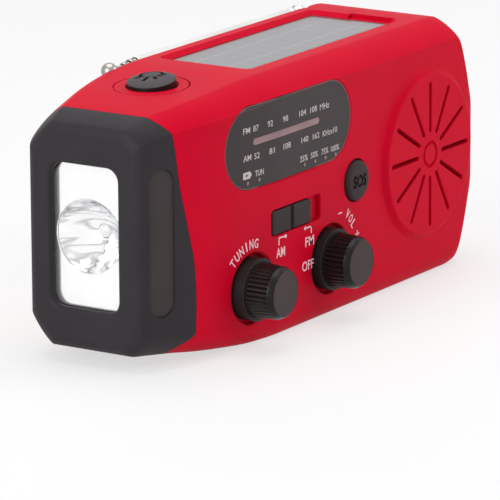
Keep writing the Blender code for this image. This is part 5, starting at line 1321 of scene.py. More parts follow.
    def build_front(self, case: Piece) -> None:
        """Cut, raise and dress the front half."""
        shell = self.half("front_case", case, 1)
        bosses = [self.grille()]
        for name in KNOB_JOINTS:
            at = Axis.Y.across(joint_place(name))
            face = float(self.form.front(at[0]))
            start, end = face + self.wall - 0.0004, face + self.knob_recess_depth + self.boss_wall
            bosses.append(rod("boss", at, self.knob_recess + self.boss_wall, (start, end), Axis.Y, 64))
        combine(shell, bosses, How.JOIN)
        combine(shell, self.grille_cuts() + self.front_cuts() + self.port_cuts(), How.CUT)
        inward, z, radius = self.strap_bar
        ends = (self.strap_low[1] - self.wall / 2, self.parting - GAP)
        pin = rod("strap_bar", (self.form.length / 2 - inward, z), radius, ends, Axis.Y, 24)
        combine(shell, [pin], How.JOIN)
        dress(smooth(shell), RED, "case", ["front_shell"])

    def build_rear(self, case: Piece) -> None:
        """Cut and dress the rear half, with the wells of its screws and the crank's hole."""
        shell = self.half("rear_case", case, -1)
        posts = []
        cuts = []
        for number in range(4):
            low, high = corners(f"case_screw_{number + 1}")
            at = Axis.Y.across((low + high) / 2)
            post = rod("post", at, self.post_radius, (self.parting + GAP, self.back() - OVER), Axis.Y)
            posts.append(combine(post, [self.form.plain("inside", self.wall / 2)], How.KEEP))
            cuts.append(rod("well", at, self.well_radius, (high[1] - self.well_depth, FAR), Axis.Y, 40))
        combine(shell, posts, How.JOIN)
        radius, depth = self.hub_hole
        at = Axis.Y.across(joint_place("crank_spin"))
        cuts.append(rod("hub", at, radius, (self.back() - depth, FAR), Axis.Y))
        radius, depth = self.swivel_hole
        pivot = joint_place("aerial_tilt")
        cuts.append(rod("swivel", Axis.Z.across(pivot), radius, (pivot[2] - depth, FAR), Axis.Z))
        combine(shell, cuts, How.CUT)
        dress(smooth(shell), RED, "case", ["rear_shell"])

    def build(self) -> None:
        """Make both halves from one blank."""
        case = self.blank()
        self.build_front(case)
        self.build_rear(case)
        bpy.data.objects.remove(case, do_unlink=True)


@dataclass
class Torch:
    """The rubber bumper, the window, the reflector and the lamp.

    Attributes:
        case: The case that the bumper caps.
        wall: Thickness of the rubber.
        window_radius: Corner radius of the window.
        window_lip: How far the window lies inside the edge of the CAD lens.
        mouth_depth, mouth_round: Depth of the bumper's opening and the radius of its edge.
        lens_thick: Thickness of the clear plate.
        plate_gap: Room between the clear plate and the reflector.
        plate_thick: Thickness of the reflector's flat plate.
        bowl_depth, bowl_radius, bowl_wall: Depth of the reflector's bowl, radius of its mouth and its
            wall along the axis.
        rim: Outline of the ring round the bowl's mouth, from the plate's face and the mouth's radius.
        lamp_radius: Radius of the lamp.
        cup_radius, cup_tip: Radii of the cup in the lamp, at its foot and at its tip.
        inlay_middle: Middle of the bare inlay on the bumper's side, along X and Z.
        inlay_size: Its width and its height.
        inlay_sunk, inlay_thick: How far the inlay lies under the rubber, and its thickness.
        bed_depth, bed_gap: Depth of the inlay's bed and the gap round the inlay.
        crease: The angle in degrees from which an edge stays sharp on the rubber.
    """

    case: Case
    wall: float = 0.0018
    window_radius: float = 0.003
    window_lip: float = 0.0015
    mouth_depth: float = 0.016
    mouth_round: float = 0.0011
    lens_thick: float = 0.0008
    plate_gap: float = 0.0003
    plate_thick: float = 0.001
    bowl_depth: float = 0.0060
    bowl_radius: float = 0.0084
    bowl_wall: float = 0.0007
    rim: tuple[Pair, ...] = (
        (0.0, 0.0), (-0.00015, 0.0001), (-0.00015, 0.0003), (0.0001, 0.0004), (0.0003, 0.0002),
    )
    lamp_radius: float = 0.0016
    cup_radius: float = 0.0009
    cup_tip: float = 0.0005
    inlay_middle: Pair = (-0.0604, 0.0288)
    inlay_size: Pair = (0.0062, 0.0330)
    inlay_sunk: float = 0.00035
    inlay_thick: float = 0.0004
    bed_depth: float = 0.0008
    bed_gap: float = 0.00008
    crease: float = 38.0

    def window(self, grow: float = 0.0) -> Outline:
        """Return the window's outline, from the CAD lens and its clearance."""
        low, high = corners("torch_lens")
        width, height = (high - low)[1:] - 2 * self.window_lip
        return rectangle(Axis.X.across((low + high) / 2), width + 2 * grow, height + 2 * grow,
                         self.window_radius + max(grow, 0.0), 8)

    def inlay(self, grow: float = 0.0) -> Outline:
        """Return the outline of the bare inlay on the bumper's side."""
        width, height = self.inlay_size
        radius = width / 2 + grow - 0.00002
        return rectangle(self.inlay_middle, width + 2 * grow, height + 2 * grow, radius, 12)

    def build_bumper(self) -> None:
        """A rubber skin over the nose, with a soft mouth round the window."""
        form = self.case.form
        cap = combine(form.fine("bumper_cap"), [form.plain("core", self.wall)], How.CUT)
        combine(cap, [self.case.nose("zone", -SEAM / 2)], How.KEEP)
        front = -form.length / 2
        levels = [(front + self.mouth_depth, 0.0)] + mouth(front, -1, self.mouth_round, 6)
        combine(cap, [loft("mouth", self.window(), levels, Axis.X)], How.CUT)
        bed = loft("bed", self.inlay(self.bed_gap), straight(-FAR, FRONT_REACH), Axis.Y)
        combine(cap, [combine(bed, [form.fine("bed_floor", self.bed_depth)], How.CUT)], How.CUT)
        dress(smooth(cap, self.crease), BUMPER_RUBBER, "case", ["bumper"])
        inlay = form.drape("bumper_inlay", self.inlay(), self.inlay_sunk, self.inlay_thick)
        dress(smooth(inlay, self.crease), INLAY_BLACK, "case")

    def build_lens(self) -> None:
        """A clear plate with a rounded front edge and a lip behind."""
        low, _ = corners("torch_lens")
        levels = [(low[0] + self.lens_thick, 0.0)] + eased(low[0], 1, 0.0004)
        plate = loft("torch_window", self.window(-GAP), levels, Axis.X)
        dress(smooth(plate), LENS_CLEAR, "case", ["torch_lens"])

    def build_reflector(self) -> None:
        """A bright plate, and a bowl whose depth grows with the square of the radius."""
        centre = Axis.X.across(middle("reflector"))
        start = corners("torch_lens")[0][0] + self.lens_thick + self.plate_gap
        levels = [(start + self.plate_thick, 0.0)] + eased(start, 1, 0.0002)
        plate = loft("reflector_plate", self.window(0.001), levels, Axis.X)
        ends = (start - OVER, start + 3 * OVER)
        combine(plate, [rod("hole", centre, self.bowl_radius, ends, Axis.X, 96)], How.CUT)
        radius = np.linspace(self.bowl_radius + 0.00005, self.lamp_radius + 0.00005, 32)
        depth = self.bowl_depth * (1 - (radius / self.bowl_radius) ** 2)
        inner = [(start + 0.0003 + d, r) for d, r in zip(depth.clip(0), radius)]
        outer = [(along + self.bowl_wall, r + 0.0004) for along, r in inner]
        bowl = lathe("reflector_dish", inner + outer[::-1], Axis.X, centre, 96, closed=True)
        dress(smooth(plate), PLATE_CHROME, "case", ["reflector"])
        dress(smooth(bowl, 60.0), BOWL_CHROME, "case")
        profile = [(start + along, self.bowl_radius + out) for along, out in self.rim]
        rim = lathe("reflector_rim", profile, Axis.X, centre, 96, closed=True)
        dress(smooth(rim), PLATE_CHROME, "case")

    def build_lamp(self) -> None:
        """A clear domed lamp with its chip on a small cup inside."""
        low, high = corners("led")
        centre = Axis.X.across(middle("led"))
        radius = self.lamp_radius
        angle = np.linspace(0, QUARTER, 13)
        profile = [(high[0], 0.0), (high[0], radius)]
        profile += [(low[0] + radius * (1 - math.sin(a)), radius * math.cos(a)) for a in angle]
        dress(smooth(lathe("lamp_dome", profile, Axis.X, centre, 48)), LAMP_CLEAR, "case", ["led"])
        foot, tip = high[0] - 0.0004, low[0] + 0.0030
        cup = [(foot, 0.0), (foot, self.cup_radius), (low[0] + 0.0026, self.cup_radius), (tip, self.cup_tip),
               (tip, 0.0)]
        dress(smooth(lathe("lamp_cup", cup, Axis.X, centre, 32)), LAMP_CHIP, "case")

    def build(self) -> None:
        """Make every piece of the torch."""
        self.build_bumper()
        self.build_lens()
        self.build_reflector()
        self.build_lamp()


@dataclass
class Legend:
    """One group of letters on the front face.

    Attributes:
        words: The letters.
        x: Their middle along X.
        z: Their middle along Z.
        width: Their width, or zero to keep the letters' own.
        height: Their height.
        turn: How far they are turned, in degrees.
    """

    words: str
    x: float
    z: float
    width: float
    height: float
    turn: float = 0.0


@dataclass
class Printing:
    """Letters and small marks, laid on the front face as thin closed solids.

    Attributes:
        form: The case's form, which the marks follow.
        lift: How far the marks stand over the red face.
        thick: Their thickness.
    """

    form: CaseForm
    lift: float = 0.00004
    thick: float = 0.00008

    def lay(self, piece: Piece, x: float, z: float, turn: float, lift: float) -> Piece:
        """Turn a flat piece, stand it up to face -Y and lay it along the front.

        Args:
            piece: The piece, drawn about the origin in the XY plane.
            x: Where it goes along X.
            z: Where it goes along Z.
            turn: Its turn in degrees.
            lift: How far it stands over the face.

        Returns:
            The piece.
        """
        angle = math.radians(turn)

        def place(points: Array) -> Array:
            """Turn about the middle, then follow the front face along X."""
            u = points[:, 0] * math.cos(angle) - points[:, 1] * math.sin(angle) + x
            v = points[:, 0] * math.sin(angle) + points[:, 1] * math.cos(angle) + z
            return np.stack([u, self.form.front(u) - lift - points[:, 2], v], axis=-1)

        return bent(piece, place)

    def letters(self, name: str, legends: Sequence[Legend], lift: float = 0.0, bold: float = 0.0) -> Piece:
        """Lay groups of letters and gather them into one piece."""
        parts = []
        for legend in legends:
            part = glyphs("letters", legend.words, legend.width, legend.height, self.thick, bold)
            parts.append(self.lay(part, legend.x, legend.z, legend.turn, self.lift + lift))
        return joined(name, parts)

    def strokes(self, name: str, lines: Sequence[Sequence[Pair]], width: float) -> Piece:
        """Lay straight strokes, each a thin bar with round ends between two places on the face."""
        parts = []
        for (x0, z0), (x1, z1) in lines:
            length = math.hypot(x1 - x0, z1 - z0) + width
            outline = rectangle((0.0, 0.0), length, width, width / 2, 4)
            part = loft("stroke", outline, straight(-self.thick / 2, self.thick / 2), Axis.Z)
            turn = math.degrees(math.atan2(z1 - z0, x1 - x0))
            parts.append(self.lay(part, (x0 + x1) / 2, (z0 + z1) / 2, turn, self.lift))
        return joined(name, parts)


@dataclass
class Dial:
    """The dial panel with its slot, window, needle and printing.

    Attributes:
        form: The case's form.
        printing: Lays the letters.
        thick: Thickness of the panel.
        sunk: How far its face lies behind the case.
        slot: Height of the needle's slot.
        rim: Outline of the rim, whose pale colour is a painted highlight, as depth under the panel's face and
            growth.
        cap: Height of the capital letters.
        bold: How much the letters are thickened, as a share of their height.
        frequencies: The letters and numbers: words, place along X and Z and width, in millimetres.
        sign: Where the battery sign stands, along X and Z.
        bolt: Outline of the flash in the battery sign.
        dots: Places of the small lamps under the numbers, along X and Z, in millimetres.
        dot: Radius of the small lamps.
        needle: Width of the needle.
        foot: Height of the needle's foot.
    """

    form: CaseForm
    printing: Printing
    thick: float = 0.0012
    sunk: float = 0.00022
    slot: float = 0.00165
    rim: tuple[Pair, ...] = (
        (0.0, 0.0), (-0.00008, -0.00003), (-0.00008, -0.0002), (0.0, -0.00025), (0.0003, -0.00015),
    )
    cap: float = 0.00135
    bold: float = 0.004
    frequencies: tuple[tuple[str, float, float, float], ...] = (
        ("FM", -34.4, 49.6, 2.6), ("87", -30.9, 49.6, 2.05), ("92", -25.3, 49.6, 2.05),
        ("98", -19.2, 49.6, 2.15), ("104", -12.0, 49.55, 2.9), ("108", -7.35, 49.5, 2.8),
        ("MHz", -2.7, 49.4, 3.9),
        ("AM", -34.2, 43.4, 2.95), ("52", -30.5, 43.3, 2.05), ("81", -24.7, 43.3, 2.1),
        ("108", -18.6, 43.3, 2.95), ("140", -11.1, 43.25, 2.9), ("162", -6.3, 43.2, 2.75),
        ("KHzx10", -0.4, 43.05, 6.2),
        ("TUN", -29.6, 39.3, 3.3), ("25%", -11.5, 39.0, 3.2), ("50%", -7.1, 39.0, 3.0),
        ("75%", -2.6, 38.95, 2.95), ("100%", 1.8, 38.8, 3.5),
    )
    dots: tuple[Pair, ...] = (
        (-34.1, 37.7), (-29.7, 37.7), (-11.3, 37.5), (-6.8, 37.4), (-2.4, 37.4), (2.0, 37.3),
    )
    dot: float = 0.00042
    sign: Pair = (-0.0345, 0.0395)
    bolt: tuple[Pair, ...] = (
        (-0.0007, -0.0001), (0.0002, 0.0005), (0.0001, 0.0001), (0.0007, 0.0001), (-0.0002, -0.0005),
        (-0.0001, -0.0001),
    )
    needle: float = 0.0008
    foot: float = 0.0028

    def build_panel(self) -> None:
        """A sheet that follows the front, with a thin rim painted pale as a highlight on its edge and a
        window for the needle.
        """
        outline = rectangle(DIAL_MIDDLE, *DIAL_SIZE, 20)
        panel = self.form.drape("dial_plate", outline, self.sunk, self.thick)
        low, high = corners("dial_window")
        centre = Axis.Y.across((low + high) / 2)
        length, height = high[0] - low[0] + 0.0006, self.slot
        hole = rectangle(centre, length, height, height / 2, 8)
        combine(panel, [loft("slot", hole, straight(-FAR, 0.0), Axis.Y)], How.CUT)
        dress(smooth(panel, 40.0), DIAL_BROWN, "case", ["dial_panel"])
        pane = rectangle(centre, length - 0.0001, height - 0.0001, height / 2, 8)
        strip = self.form.drape("dial_strip", pane, self.sunk + 0.0001, self.thick * 0.8)
        dress(smooth(strip), STRIP_PINK, "case", ["dial_window"])
        # The thin rim round the panel, coloured pale as a painted highlight on its edge
        rings = []
        for depth, grow in self.rim:
            x, z = outline(grow).T
            rings.append(np.stack([x, self.form.front(x) + self.sunk + depth, z], axis=-1))
        edge = surface("dial_rim", np.stack(rings), closed=True)
        dress(smooth(edge), PAINTED_RIM_HIGHLIGHT, "case")

    def build_marks(self) -> None:
        """The numbers, the battery sign and the small lamps under them."""
        legends = [Legend(words, x / 1000, z / 1000, width / 1000, self.cap)
                   for words, x, z, width in self.frequencies]
        depth = -self.sunk
        numbers = self.printing.letters("dial_numbers", legends, depth, self.bold)
        dress(numbers, PRINT_WHITE, "case")
        flat = straight(0.0, self.printing.thick)
        body = loft("sign", rectangle((0.0, 0.0), 0.0028, 0.0016, 0.0003, 3), flat, Axis.Z)
        knob = loft("sign_end", rectangle((0.0016, 0.0), 0.0004, 0.0007, 0.0001, 2), flat, Axis.Z)
        flash = loft("flash", lambda grow: np.array(self.bolt), straight(-OVER, OVER), Axis.Z)
        combine(body, [flash], How.CUT)
        lift = depth + self.printing.lift
        parts = [self.printing.lay(part, *self.sign, 0.0, lift) for part in (body, knob)]
        dress(joined("battery_sign", parts), PRINT_WHITE, "case")
        lamps = []
        for x, z in self.dots:
            lamp = rod("dot", (0.0, 0.0), self.dot, (0.0, 0.0001), Axis.Z, 16)
            lamps.append(self.printing.lay(lamp, x / 1000, z / 1000, 0.0, lift))
        dress(joined("charge_lamps", lamps), LAMP_PINK, "case")

    def build_needle(self) -> None:
        """The slim needle behind the window, and its foot on the rail."""
        low, high = corners("dial_pointer")
        x, half = (low[0] + high[0]) / 2, self.needle / 2
        ends = (x - half, low[1], low[2] + 0.002), (x + half, low[1] + self.needle, high[2])
        stem = bar("needle", *ends, 0.00015)
        foot = bar("foot", low, (high[0], high[1], low[2] + self.foot), EDGE)
        dress(smooth(combine(stem, [foot], How.JOIN)), NEEDLE, "needle", ["dial_pointer"])

    def build(self) -> None:
        """Make every piece of the dial."""
        self.build_panel()
        self.build_marks()
        self.build_needle()


@dataclass
class Knob:
    """A knob with a flange, a fluted skirt that tapers, a bevelled shoulder and a flat cap.

    Attributes:
        node: The CAD node that it stands for.
        body: The body that it rides on.
        joint: The joint that gives its axis.
        flutes: Number of ridges round the skirt.
        flange: Radius of the flange.
        skirt: Radius of the skirt at the flange.
        crown: Radius of the skirt at the shoulder.
        cap: Radius of the flat cap.
        flange_proud: How far the flange stands out of the case.
        bevel: Length of the bevelled shoulder.
        flute_depth: Depth of the grooves between the ridges.
    """

    node: str
    body: str
    joint: str
    flutes: int = 34
    flange: float = 0.0071
    skirt: float = 0.0063
    crown: float = 0.0060
    cap: float = 0.0052
    flange_proud: float = 0.0017
    bevel: float = 0.0014
    flute_depth: float = 0.0003

    def build(self) -> None:
        """Turn the flange, the fluted skirt and the cap, and dress each."""
        low, high = corners(self.node)
        centre = Axis.Y.across(joint_place(self.joint))
        back, face = high[1], low[1]
        rest = -CaseForm.depth / 2 - self.flange_proud
        shoulder = face + self.bevel
        neck = self.flange - 0.001
        rows = [(back, 0.0, 0.0), (back, neck, 0.0), (rest + 0.0001, neck, 0.0),
                (rest + 0.0001, self.skirt, 0.0), (rest - 0.0001, self.skirt, 1.0)]
        rows += [(rest + (shoulder + 0.0003 - rest) * t, self.skirt + (self.crown - self.skirt) * t, 1.0)
                 for t in np.linspace(0.05, 1, 7)]
        rows += [(shoulder, self.crown, 0.2), (shoulder - 0.00015, self.crown - 0.00005, 0.0),
                 (face + 0.00012, self.cap + 0.00012, 0.0), (face, self.cap, 0.0),
                 (face + 0.00006, self.cap - 0.0001, 0.0), (face + 0.0004, 0.0, 0.0)]
        cut = np.array([row[2] for row in rows])

        def ridge(row: Array, angle: Array) -> Array:
            """Narrow grooves between broad ridges: the depth falls away from each groove's middle."""
            return -self.flute_depth * cut[row] * (1 - np.abs(np.sin(self.flutes * angle / 2))) ** 1.5

        profile = [row[:2] for row in rows]
        skirt = lathe(self.node + "_skirt", profile, Axis.Y, centre, self.flutes * 12, ridge=ridge)
        dress(smooth(skirt, 24.0), KNOB_BLACK, self.body, [self.node])
        levels = [(face + 0.0004, 0.0)] + eased(face + 0.00002, 1, 0.00008)
        top = loft(self.node + "_cap", disc(centre, self.cap - 0.00012, 96), levels, Axis.Y)
        dress(smooth(top), KNOB_CAP, self.body)
        inner = self.flange - 0.0009
        profile = [(back - 0.0001, inner), (back - 0.0001, self.flange), (rest + 0.00015, self.flange),
                   (rest, self.flange - 0.00015), (rest, inner)]
        edge = lathe(self.node + "_flange", profile, Axis.Y, centre, 96, closed=True)
        dress(smooth(edge), FLANGE_GREY, self.body)


@dataclass
class Controls:
    """The knobs, the band switch, the two press buttons and the words round them.

    Attributes:
        form: The case's form.
        printing: Lays the letters.
        grip_depth: Depth of the band switch's block.
        groove_half, groove_depth: Half the width and the depth of the groove across it.
        sos_radius, sos_edge: Radius of the SOS button and of its shoulder.
        stem: Radius of the buttons' stems.
        button_lean: How steeply the power button's top leans towards the torch.
        rim_drop, crown_drop: How far the power button's rim and crown lie under the CAD button's top.
        sign_shift: Where its lamp sign's middle lies from its own.
        sign_turn: The sign's turn in degrees.
        sign_depth: How deep the sign is sunk.
        arc: The inner and outer radius of the sign's arc.
        rays: The sign's rays, as degrees, start and end.
        ray_half: Half their width.
        words: The straight words round the knobs.
        arcs: The words on circles, as arc_words takes them.
        lines: The thin strokes beside them.
        dots: The small marks at the switch.
    """

    form: CaseForm
    printing: Printing
    grip_depth: float = 0.0018
    groove_half: float = 0.0008
    groove_depth: float = 0.0011
    sos_radius: float = 0.0047
    sos_edge: float = 0.0009
    stem: float = 0.0018
    button_lean: float = 0.15
    rim_drop: float = 0.00055
    crown_drop: float = 0.00015
    sign_shift: Pair = (0.0018, 0.0012)
    sign_turn: float = -57.0
    sign_depth: float = 0.0006
    arc: Pair = (0.0021, 0.0029)
    rays: tuple[Triple, ...] = (
        (200, 0.0017, 0.0039), (244, 0.0014, 0.0042), (290, 0.0016, 0.0035), (328, 0.0016, 0.0030),
        (354, 0.0022, 0.0034),
    )
    ray_half: float = 0.00042
    words: tuple[Legend, ...] = (
        Legend("OFF", -0.0102, 0.0140, 0.0049, 0.00225), Legend("AM", -0.0217, 0.0195, 0.0035, 0.0022),
        Legend("FM", -0.0095, 0.0195, 0.0036, 0.0022),
    )
    arcs: tuple[tuple[Any, ...], ...] = (
        ("TUNING", -0.0327, 0.0134, 0.0102, 135.5, 81.5, 0.00215, 0.00145),
        ("VOL", -0.0004, 0.0134, 0.0116, 50.5, 32.0, 0.00215, 0.00125),
    )
    lines: tuple[tuple[Pair, ...], ...] = (
        ((-0.0224, 0.0213), (-0.0224, 0.0229)), ((-0.0224, 0.0229), (-0.0199, 0.0228)),
        ((-0.0088, 0.0213), (-0.0088, 0.0227)), ((-0.0088, 0.0227), (-0.0112, 0.0228)),
        ((0.0030, 0.0232), (0.0044, 0.0232)), ((0.0105, 0.0168), (0.0119, 0.0168)),
        ((0.0112, 0.0161), (0.0112, 0.0175)),
    )
    dots: tuple[tuple[Pair, ...], ...] = (
        ((-0.0197, 0.02275), (-0.0196, 0.02275)), ((-0.0114, 0.0228), (-0.0113, 0.0228)),
    )

    def build_slider(self) -> None:
        """A block flush with the case, with one rounded groove across its middle."""
        low, high = corners("band_slider")
        x, z = (low[0] + high[0]) / 2, (low[2] + high[2]) / 2
        half = (high[0] - low[0]) / 2
        face, top = low[1], low[1] + self.grip_depth
        outline = rectangle((x, z), half * 2, high[2] - low[2], 0.0005, 4)
        body = loft("band_slide_grip", outline, [(top, 0.0)] + eased(face, 1, EDGE), Axis.Y)
        u = np.linspace(-1, 1, 17)
        curve = np.column_stack([face + self.groove_depth * (1 - u * u) - 0.0001, x + u * self.groove_half])
        ends = [(face - 2 * OVER, x + self.groove_half), (face - 2 * OVER, x - self.groove_half)]
        y, across = np.vstack([curve, ends]).T
        groove = surface("groove", np.stack([
            np.column_stack([across, y, np.full(len(y), end)]) for end in (z - 0.01, z + 0.01)
        ]))
        combine(body, [groove], How.CUT)
        stem = bar("stem", (x - 0.0015, top - 0.0002, z - 0.0015), (x + 0.0015, high[1], z + 0.0015), 0.0002)
        combine(body, [stem], How.JOIN)
        dress(smooth(body), BUTTON_GREY, "band", ["band_slider"])

    def build_sos(self) -> None:
        """A round button with a soft shoulder and its letters sunk in dark."""
        low, high = corners("sos_button")
        centre = (float((low[0] + high[0]) / 2) + SOS_SHIFT, float((low[2] + high[2]) / 2))
        face, foot, radius, edge = low[1] + 0.0003, low[1] + 0.0003 + 0.0028, self.sos_radius, self.sos_edge
        profile = [(high[1], 0.0), (high[1], self.stem), (foot, self.stem), (foot, radius)]
        profile += [(face + edge * (1 - math.sin(a)), radius - edge * (1 - math.cos(a)))
                    for a in np.linspace(0, QUARTER, 9)]
        profile += [(face - 0.00012, radius * 0.5), (face - 0.00016, 0.0)]
        button = lathe("sos_press_cap", profile, Axis.Y, centre, 96)

        def stood(piece: Piece, depth: float) -> Piece:
            """Stand letters up at the button's middle, at a depth under its face."""
            return bent(piece, lambda p: np.stack(
                [p[:, 0] + centre[0], face + depth - p[:, 2], p[:, 1] + centre[1]], axis=-1))

        combine(button, [stood(glyphs("sos_cut", "SOS", 0.0058, 0.0030, 0.0012, 0.045), 0.0)], How.CUT)
        dress(smooth(button), BUTTON_GREY, "sos", ["sos_button"])
        # A near-black fill laid in the floor of the sunk letters
        letter_fill = stood(glyphs("sos_letters", "SOS", 0.0057, 0.0029, 0.0003, 0.045), 0.00042)
        dress(letter_fill, DARK_LETTER_FILL, "sos")

    def build_power(self) -> None:
        """A domed rubber button with upright dark sides and a lamp sign sunk in its top."""
        low, high = corners("power_button")
        centre = (float((low[0] + high[0]) / 2), float((low[1] + high[1]) / 2))
        radius = float(high[0] - low[0]) / 2
        rim, crown = high[2] - self.rim_drop, high[2] - self.crown_drop
        share = np.linspace(0, 1, 18) ** 1.4

        def dome(shift: float) -> list[Pair]:
            """Rise steeply from the rim and level out towards the crown."""
            return [(crown - shift - (crown - rim) * (1 - s) ** 4.0, (radius - 0.0002) * (1 - s))
                    for s in share]

        def leaning(points: Array) -> Array:
            """Lean the top towards the torch, as the case's own top does there."""
            weight = np.clip((points[:, 2] - rim + 0.003) / 0.003, 0, 1)
            points[:, 2] += (points[:, 0] - centre[0]) * self.button_lean * weight
            return points

        foot = rim - 0.0030
        sides = [(low[2], 0.0), (low[2], self.stem), (foot, self.stem), (foot, radius),
                 (rim - 0.0004, radius), (rim - 0.0001, radius - 0.0001)]
        button = lathe("power_cap", sides + dome(0.0), Axis.Z, centre, 96)
        middle_x, middle_y = centre[0] + self.sign_shift[0], centre[1] + self.sign_shift[1]
        signs = [self.sign_arc("arc", (middle_x, middle_y), crown)]
        for degrees, start, end in self.rays:
            ray = bar("ray", (start, -self.ray_half, rim - 0.002), (end, self.ray_half, crown + 0.002))
            turn = Matrix.Rotation(math.radians(degrees + self.sign_turn), 4, "Z")
            signs.append(moved(ray, Matrix.Translation(Vector((middle_x, middle_y, 0.0))) @ turn))
        for sign in signs:
            below = [(rim - 0.01, 0.0), (rim - 0.01, radius)] + dome(self.sign_depth)
            combine(sign, [lathe("below", below, Axis.Z, centre, 96)], How.CUT)
        bent(combine(button, signs, How.CUT), leaning)
        dress(smooth(button), BUTTON_RUBBER, "power", ["power_button"])
        inner, outer = radius - 0.0004, radius + 0.00006
        profile = [(rim - 0.0028, inner), (rim - 0.0028, outer), (rim - 0.00015, outer),
                   (rim - 0.0001, radius), (rim - 0.0001, inner)]
        skirt = bent(lathe("power_skirt", profile, Axis.Z, centre, 96, closed=True), leaning)
        dress(smooth(skirt), KNOB_BLACK, "power")

    def sign_arc(self, name: str, centre: Pair, crown: float) -> Piece:
        """Half a ring about Z, as a cutter for the sign's arc."""
        angle = np.radians(np.linspace(-12, 192, 40) + self.sign_turn)
        inner, outer = self.arc
        below, above = crown - 0.003, crown + OVER
        rings = []
        for reach, z in ((inner, below), (outer, below), (outer, above), (inner, above)):
            x, y = centre[0] + reach * np.cos(angle), centre[1] + reach * np.sin(angle)
            rings.append(np.column_stack([x, y, np.full(len(angle), z)]))
        return surface(name, np.stack(rings, axis=1))

    def build_words(self) -> None:
        """The words and signs printed on the red round the knobs and the switch."""
        legends = [*self.words]
        for arc in self.arcs:
            legends += self.arc_words(*arc)
        for piece in (self.printing.letters("case_words", legends, 0.0, 0.010),
                      self.printing.strokes("case_lines", self.lines, 0.00032),
                      self.printing.strokes("case_dots", self.dots, 0.0008)):
            dress(piece, PRINT_PINK, "case")

    def arc_words(self, words: str, x: float, z: float, radius: float, start: float, end: float,
                  height: float, width: float) -> list[Legend]:
        """Spread letters round a centre, each turned to stand on the circle.

        Args:
            words: The letters.
            x: The centre along X.
            z: The centre along Z.
            radius: Radius of the circle through the letters' middles.
            start: Angle of the first letter in degrees.
            end: Angle of the last letter.
            height: Height of the letters.
            width: Width of a letter other than I.

        Returns:
            One legend per letter.
        """
        angles = np.linspace(start, end, len(words))
        return [Legend(letter, x + radius * math.cos(math.radians(a)), z + radius * math.sin(math.radians(a)),
                       0.0 if letter == "I" else width, height, a - 90) for letter, a in zip(words, angles)]

    def build(self) -> None:
        """Make every control."""
        Knob("tuning_knob", "tuning", "tuning_turn").build()
        Knob("volume_knob", "volume", "volume_turn").build()
        self.build_slider()
        self.build_sos()
        self.build_power()
        self.build_words()


@dataclass
class Solar:
    """The solar panel: a glass sheet over a dark tray, set in the top of the case.

    Attributes:
        cells: Number of cells along the panel.
        lip: How far the tray shows round the glass.
        wall: Width of the tray's edge under the glass.
        seat: Depth of the tray's floor under the glass's face.
        glass: Thickness of the glass.
    """

    cells: int = 12
    lip: float = 0.0002
    wall: float = 0.001
    seat: float = 0.0011
    glass: float = 0.00025

    def build(self) -> None:
        """A tray with a low edge, and a glassy sheet of cells that covers it."""
        low, high = corners("solar_frame")
        centre = Axis.Z.across((low + high) / 2)
        length, width = (high - low)[:2]
        field_low, field_high = corners("solar_panel")
        field, (x, y, _) = (field_low + field_high) / 2, field_high - field_low
        top = field_high[2]

        def sheet(inset: float, radius: float, steps: int) -> Outline:
            """Return the tray's outline, drawn in by an inset all round."""
            return rectangle(centre, length - 2 * inset, width - 2 * inset, radius, steps)

        levels = [(low[2], 0.0)] + eased(top - 0.0003, -1, 0.0002)
        tray = loft("solar_tray", sheet(0.0, 0.0005, 4), levels, Axis.Z)
        seat = loft("seat", sheet(self.wall, 0.0004, 3), straight(top - self.seat, FAR), Axis.Z)
        dress(smooth(combine(tray, [seat], How.CUT)), FRAME_BLACK, "case", ["solar_frame"])
        levels = [(top - self.glass, 0.0)] + eased(top, -1, 0.00012, 2)
        plate = loft("solar_sheet", sheet(self.lip, 0.0004, 3), levels, Axis.Z)
        cells = SolarCells(
            "solar_cells", (0.034, 0.034, 0.046), 0.30, coat=0.6, start=float(field_low[0]),
            pitch=float(x) / self.cells, middle=float(field[1]), border=(float(x) / 2, float(y) / 2),
        )
        dress(smooth(plate), cells, "case", ["solar_panel"])


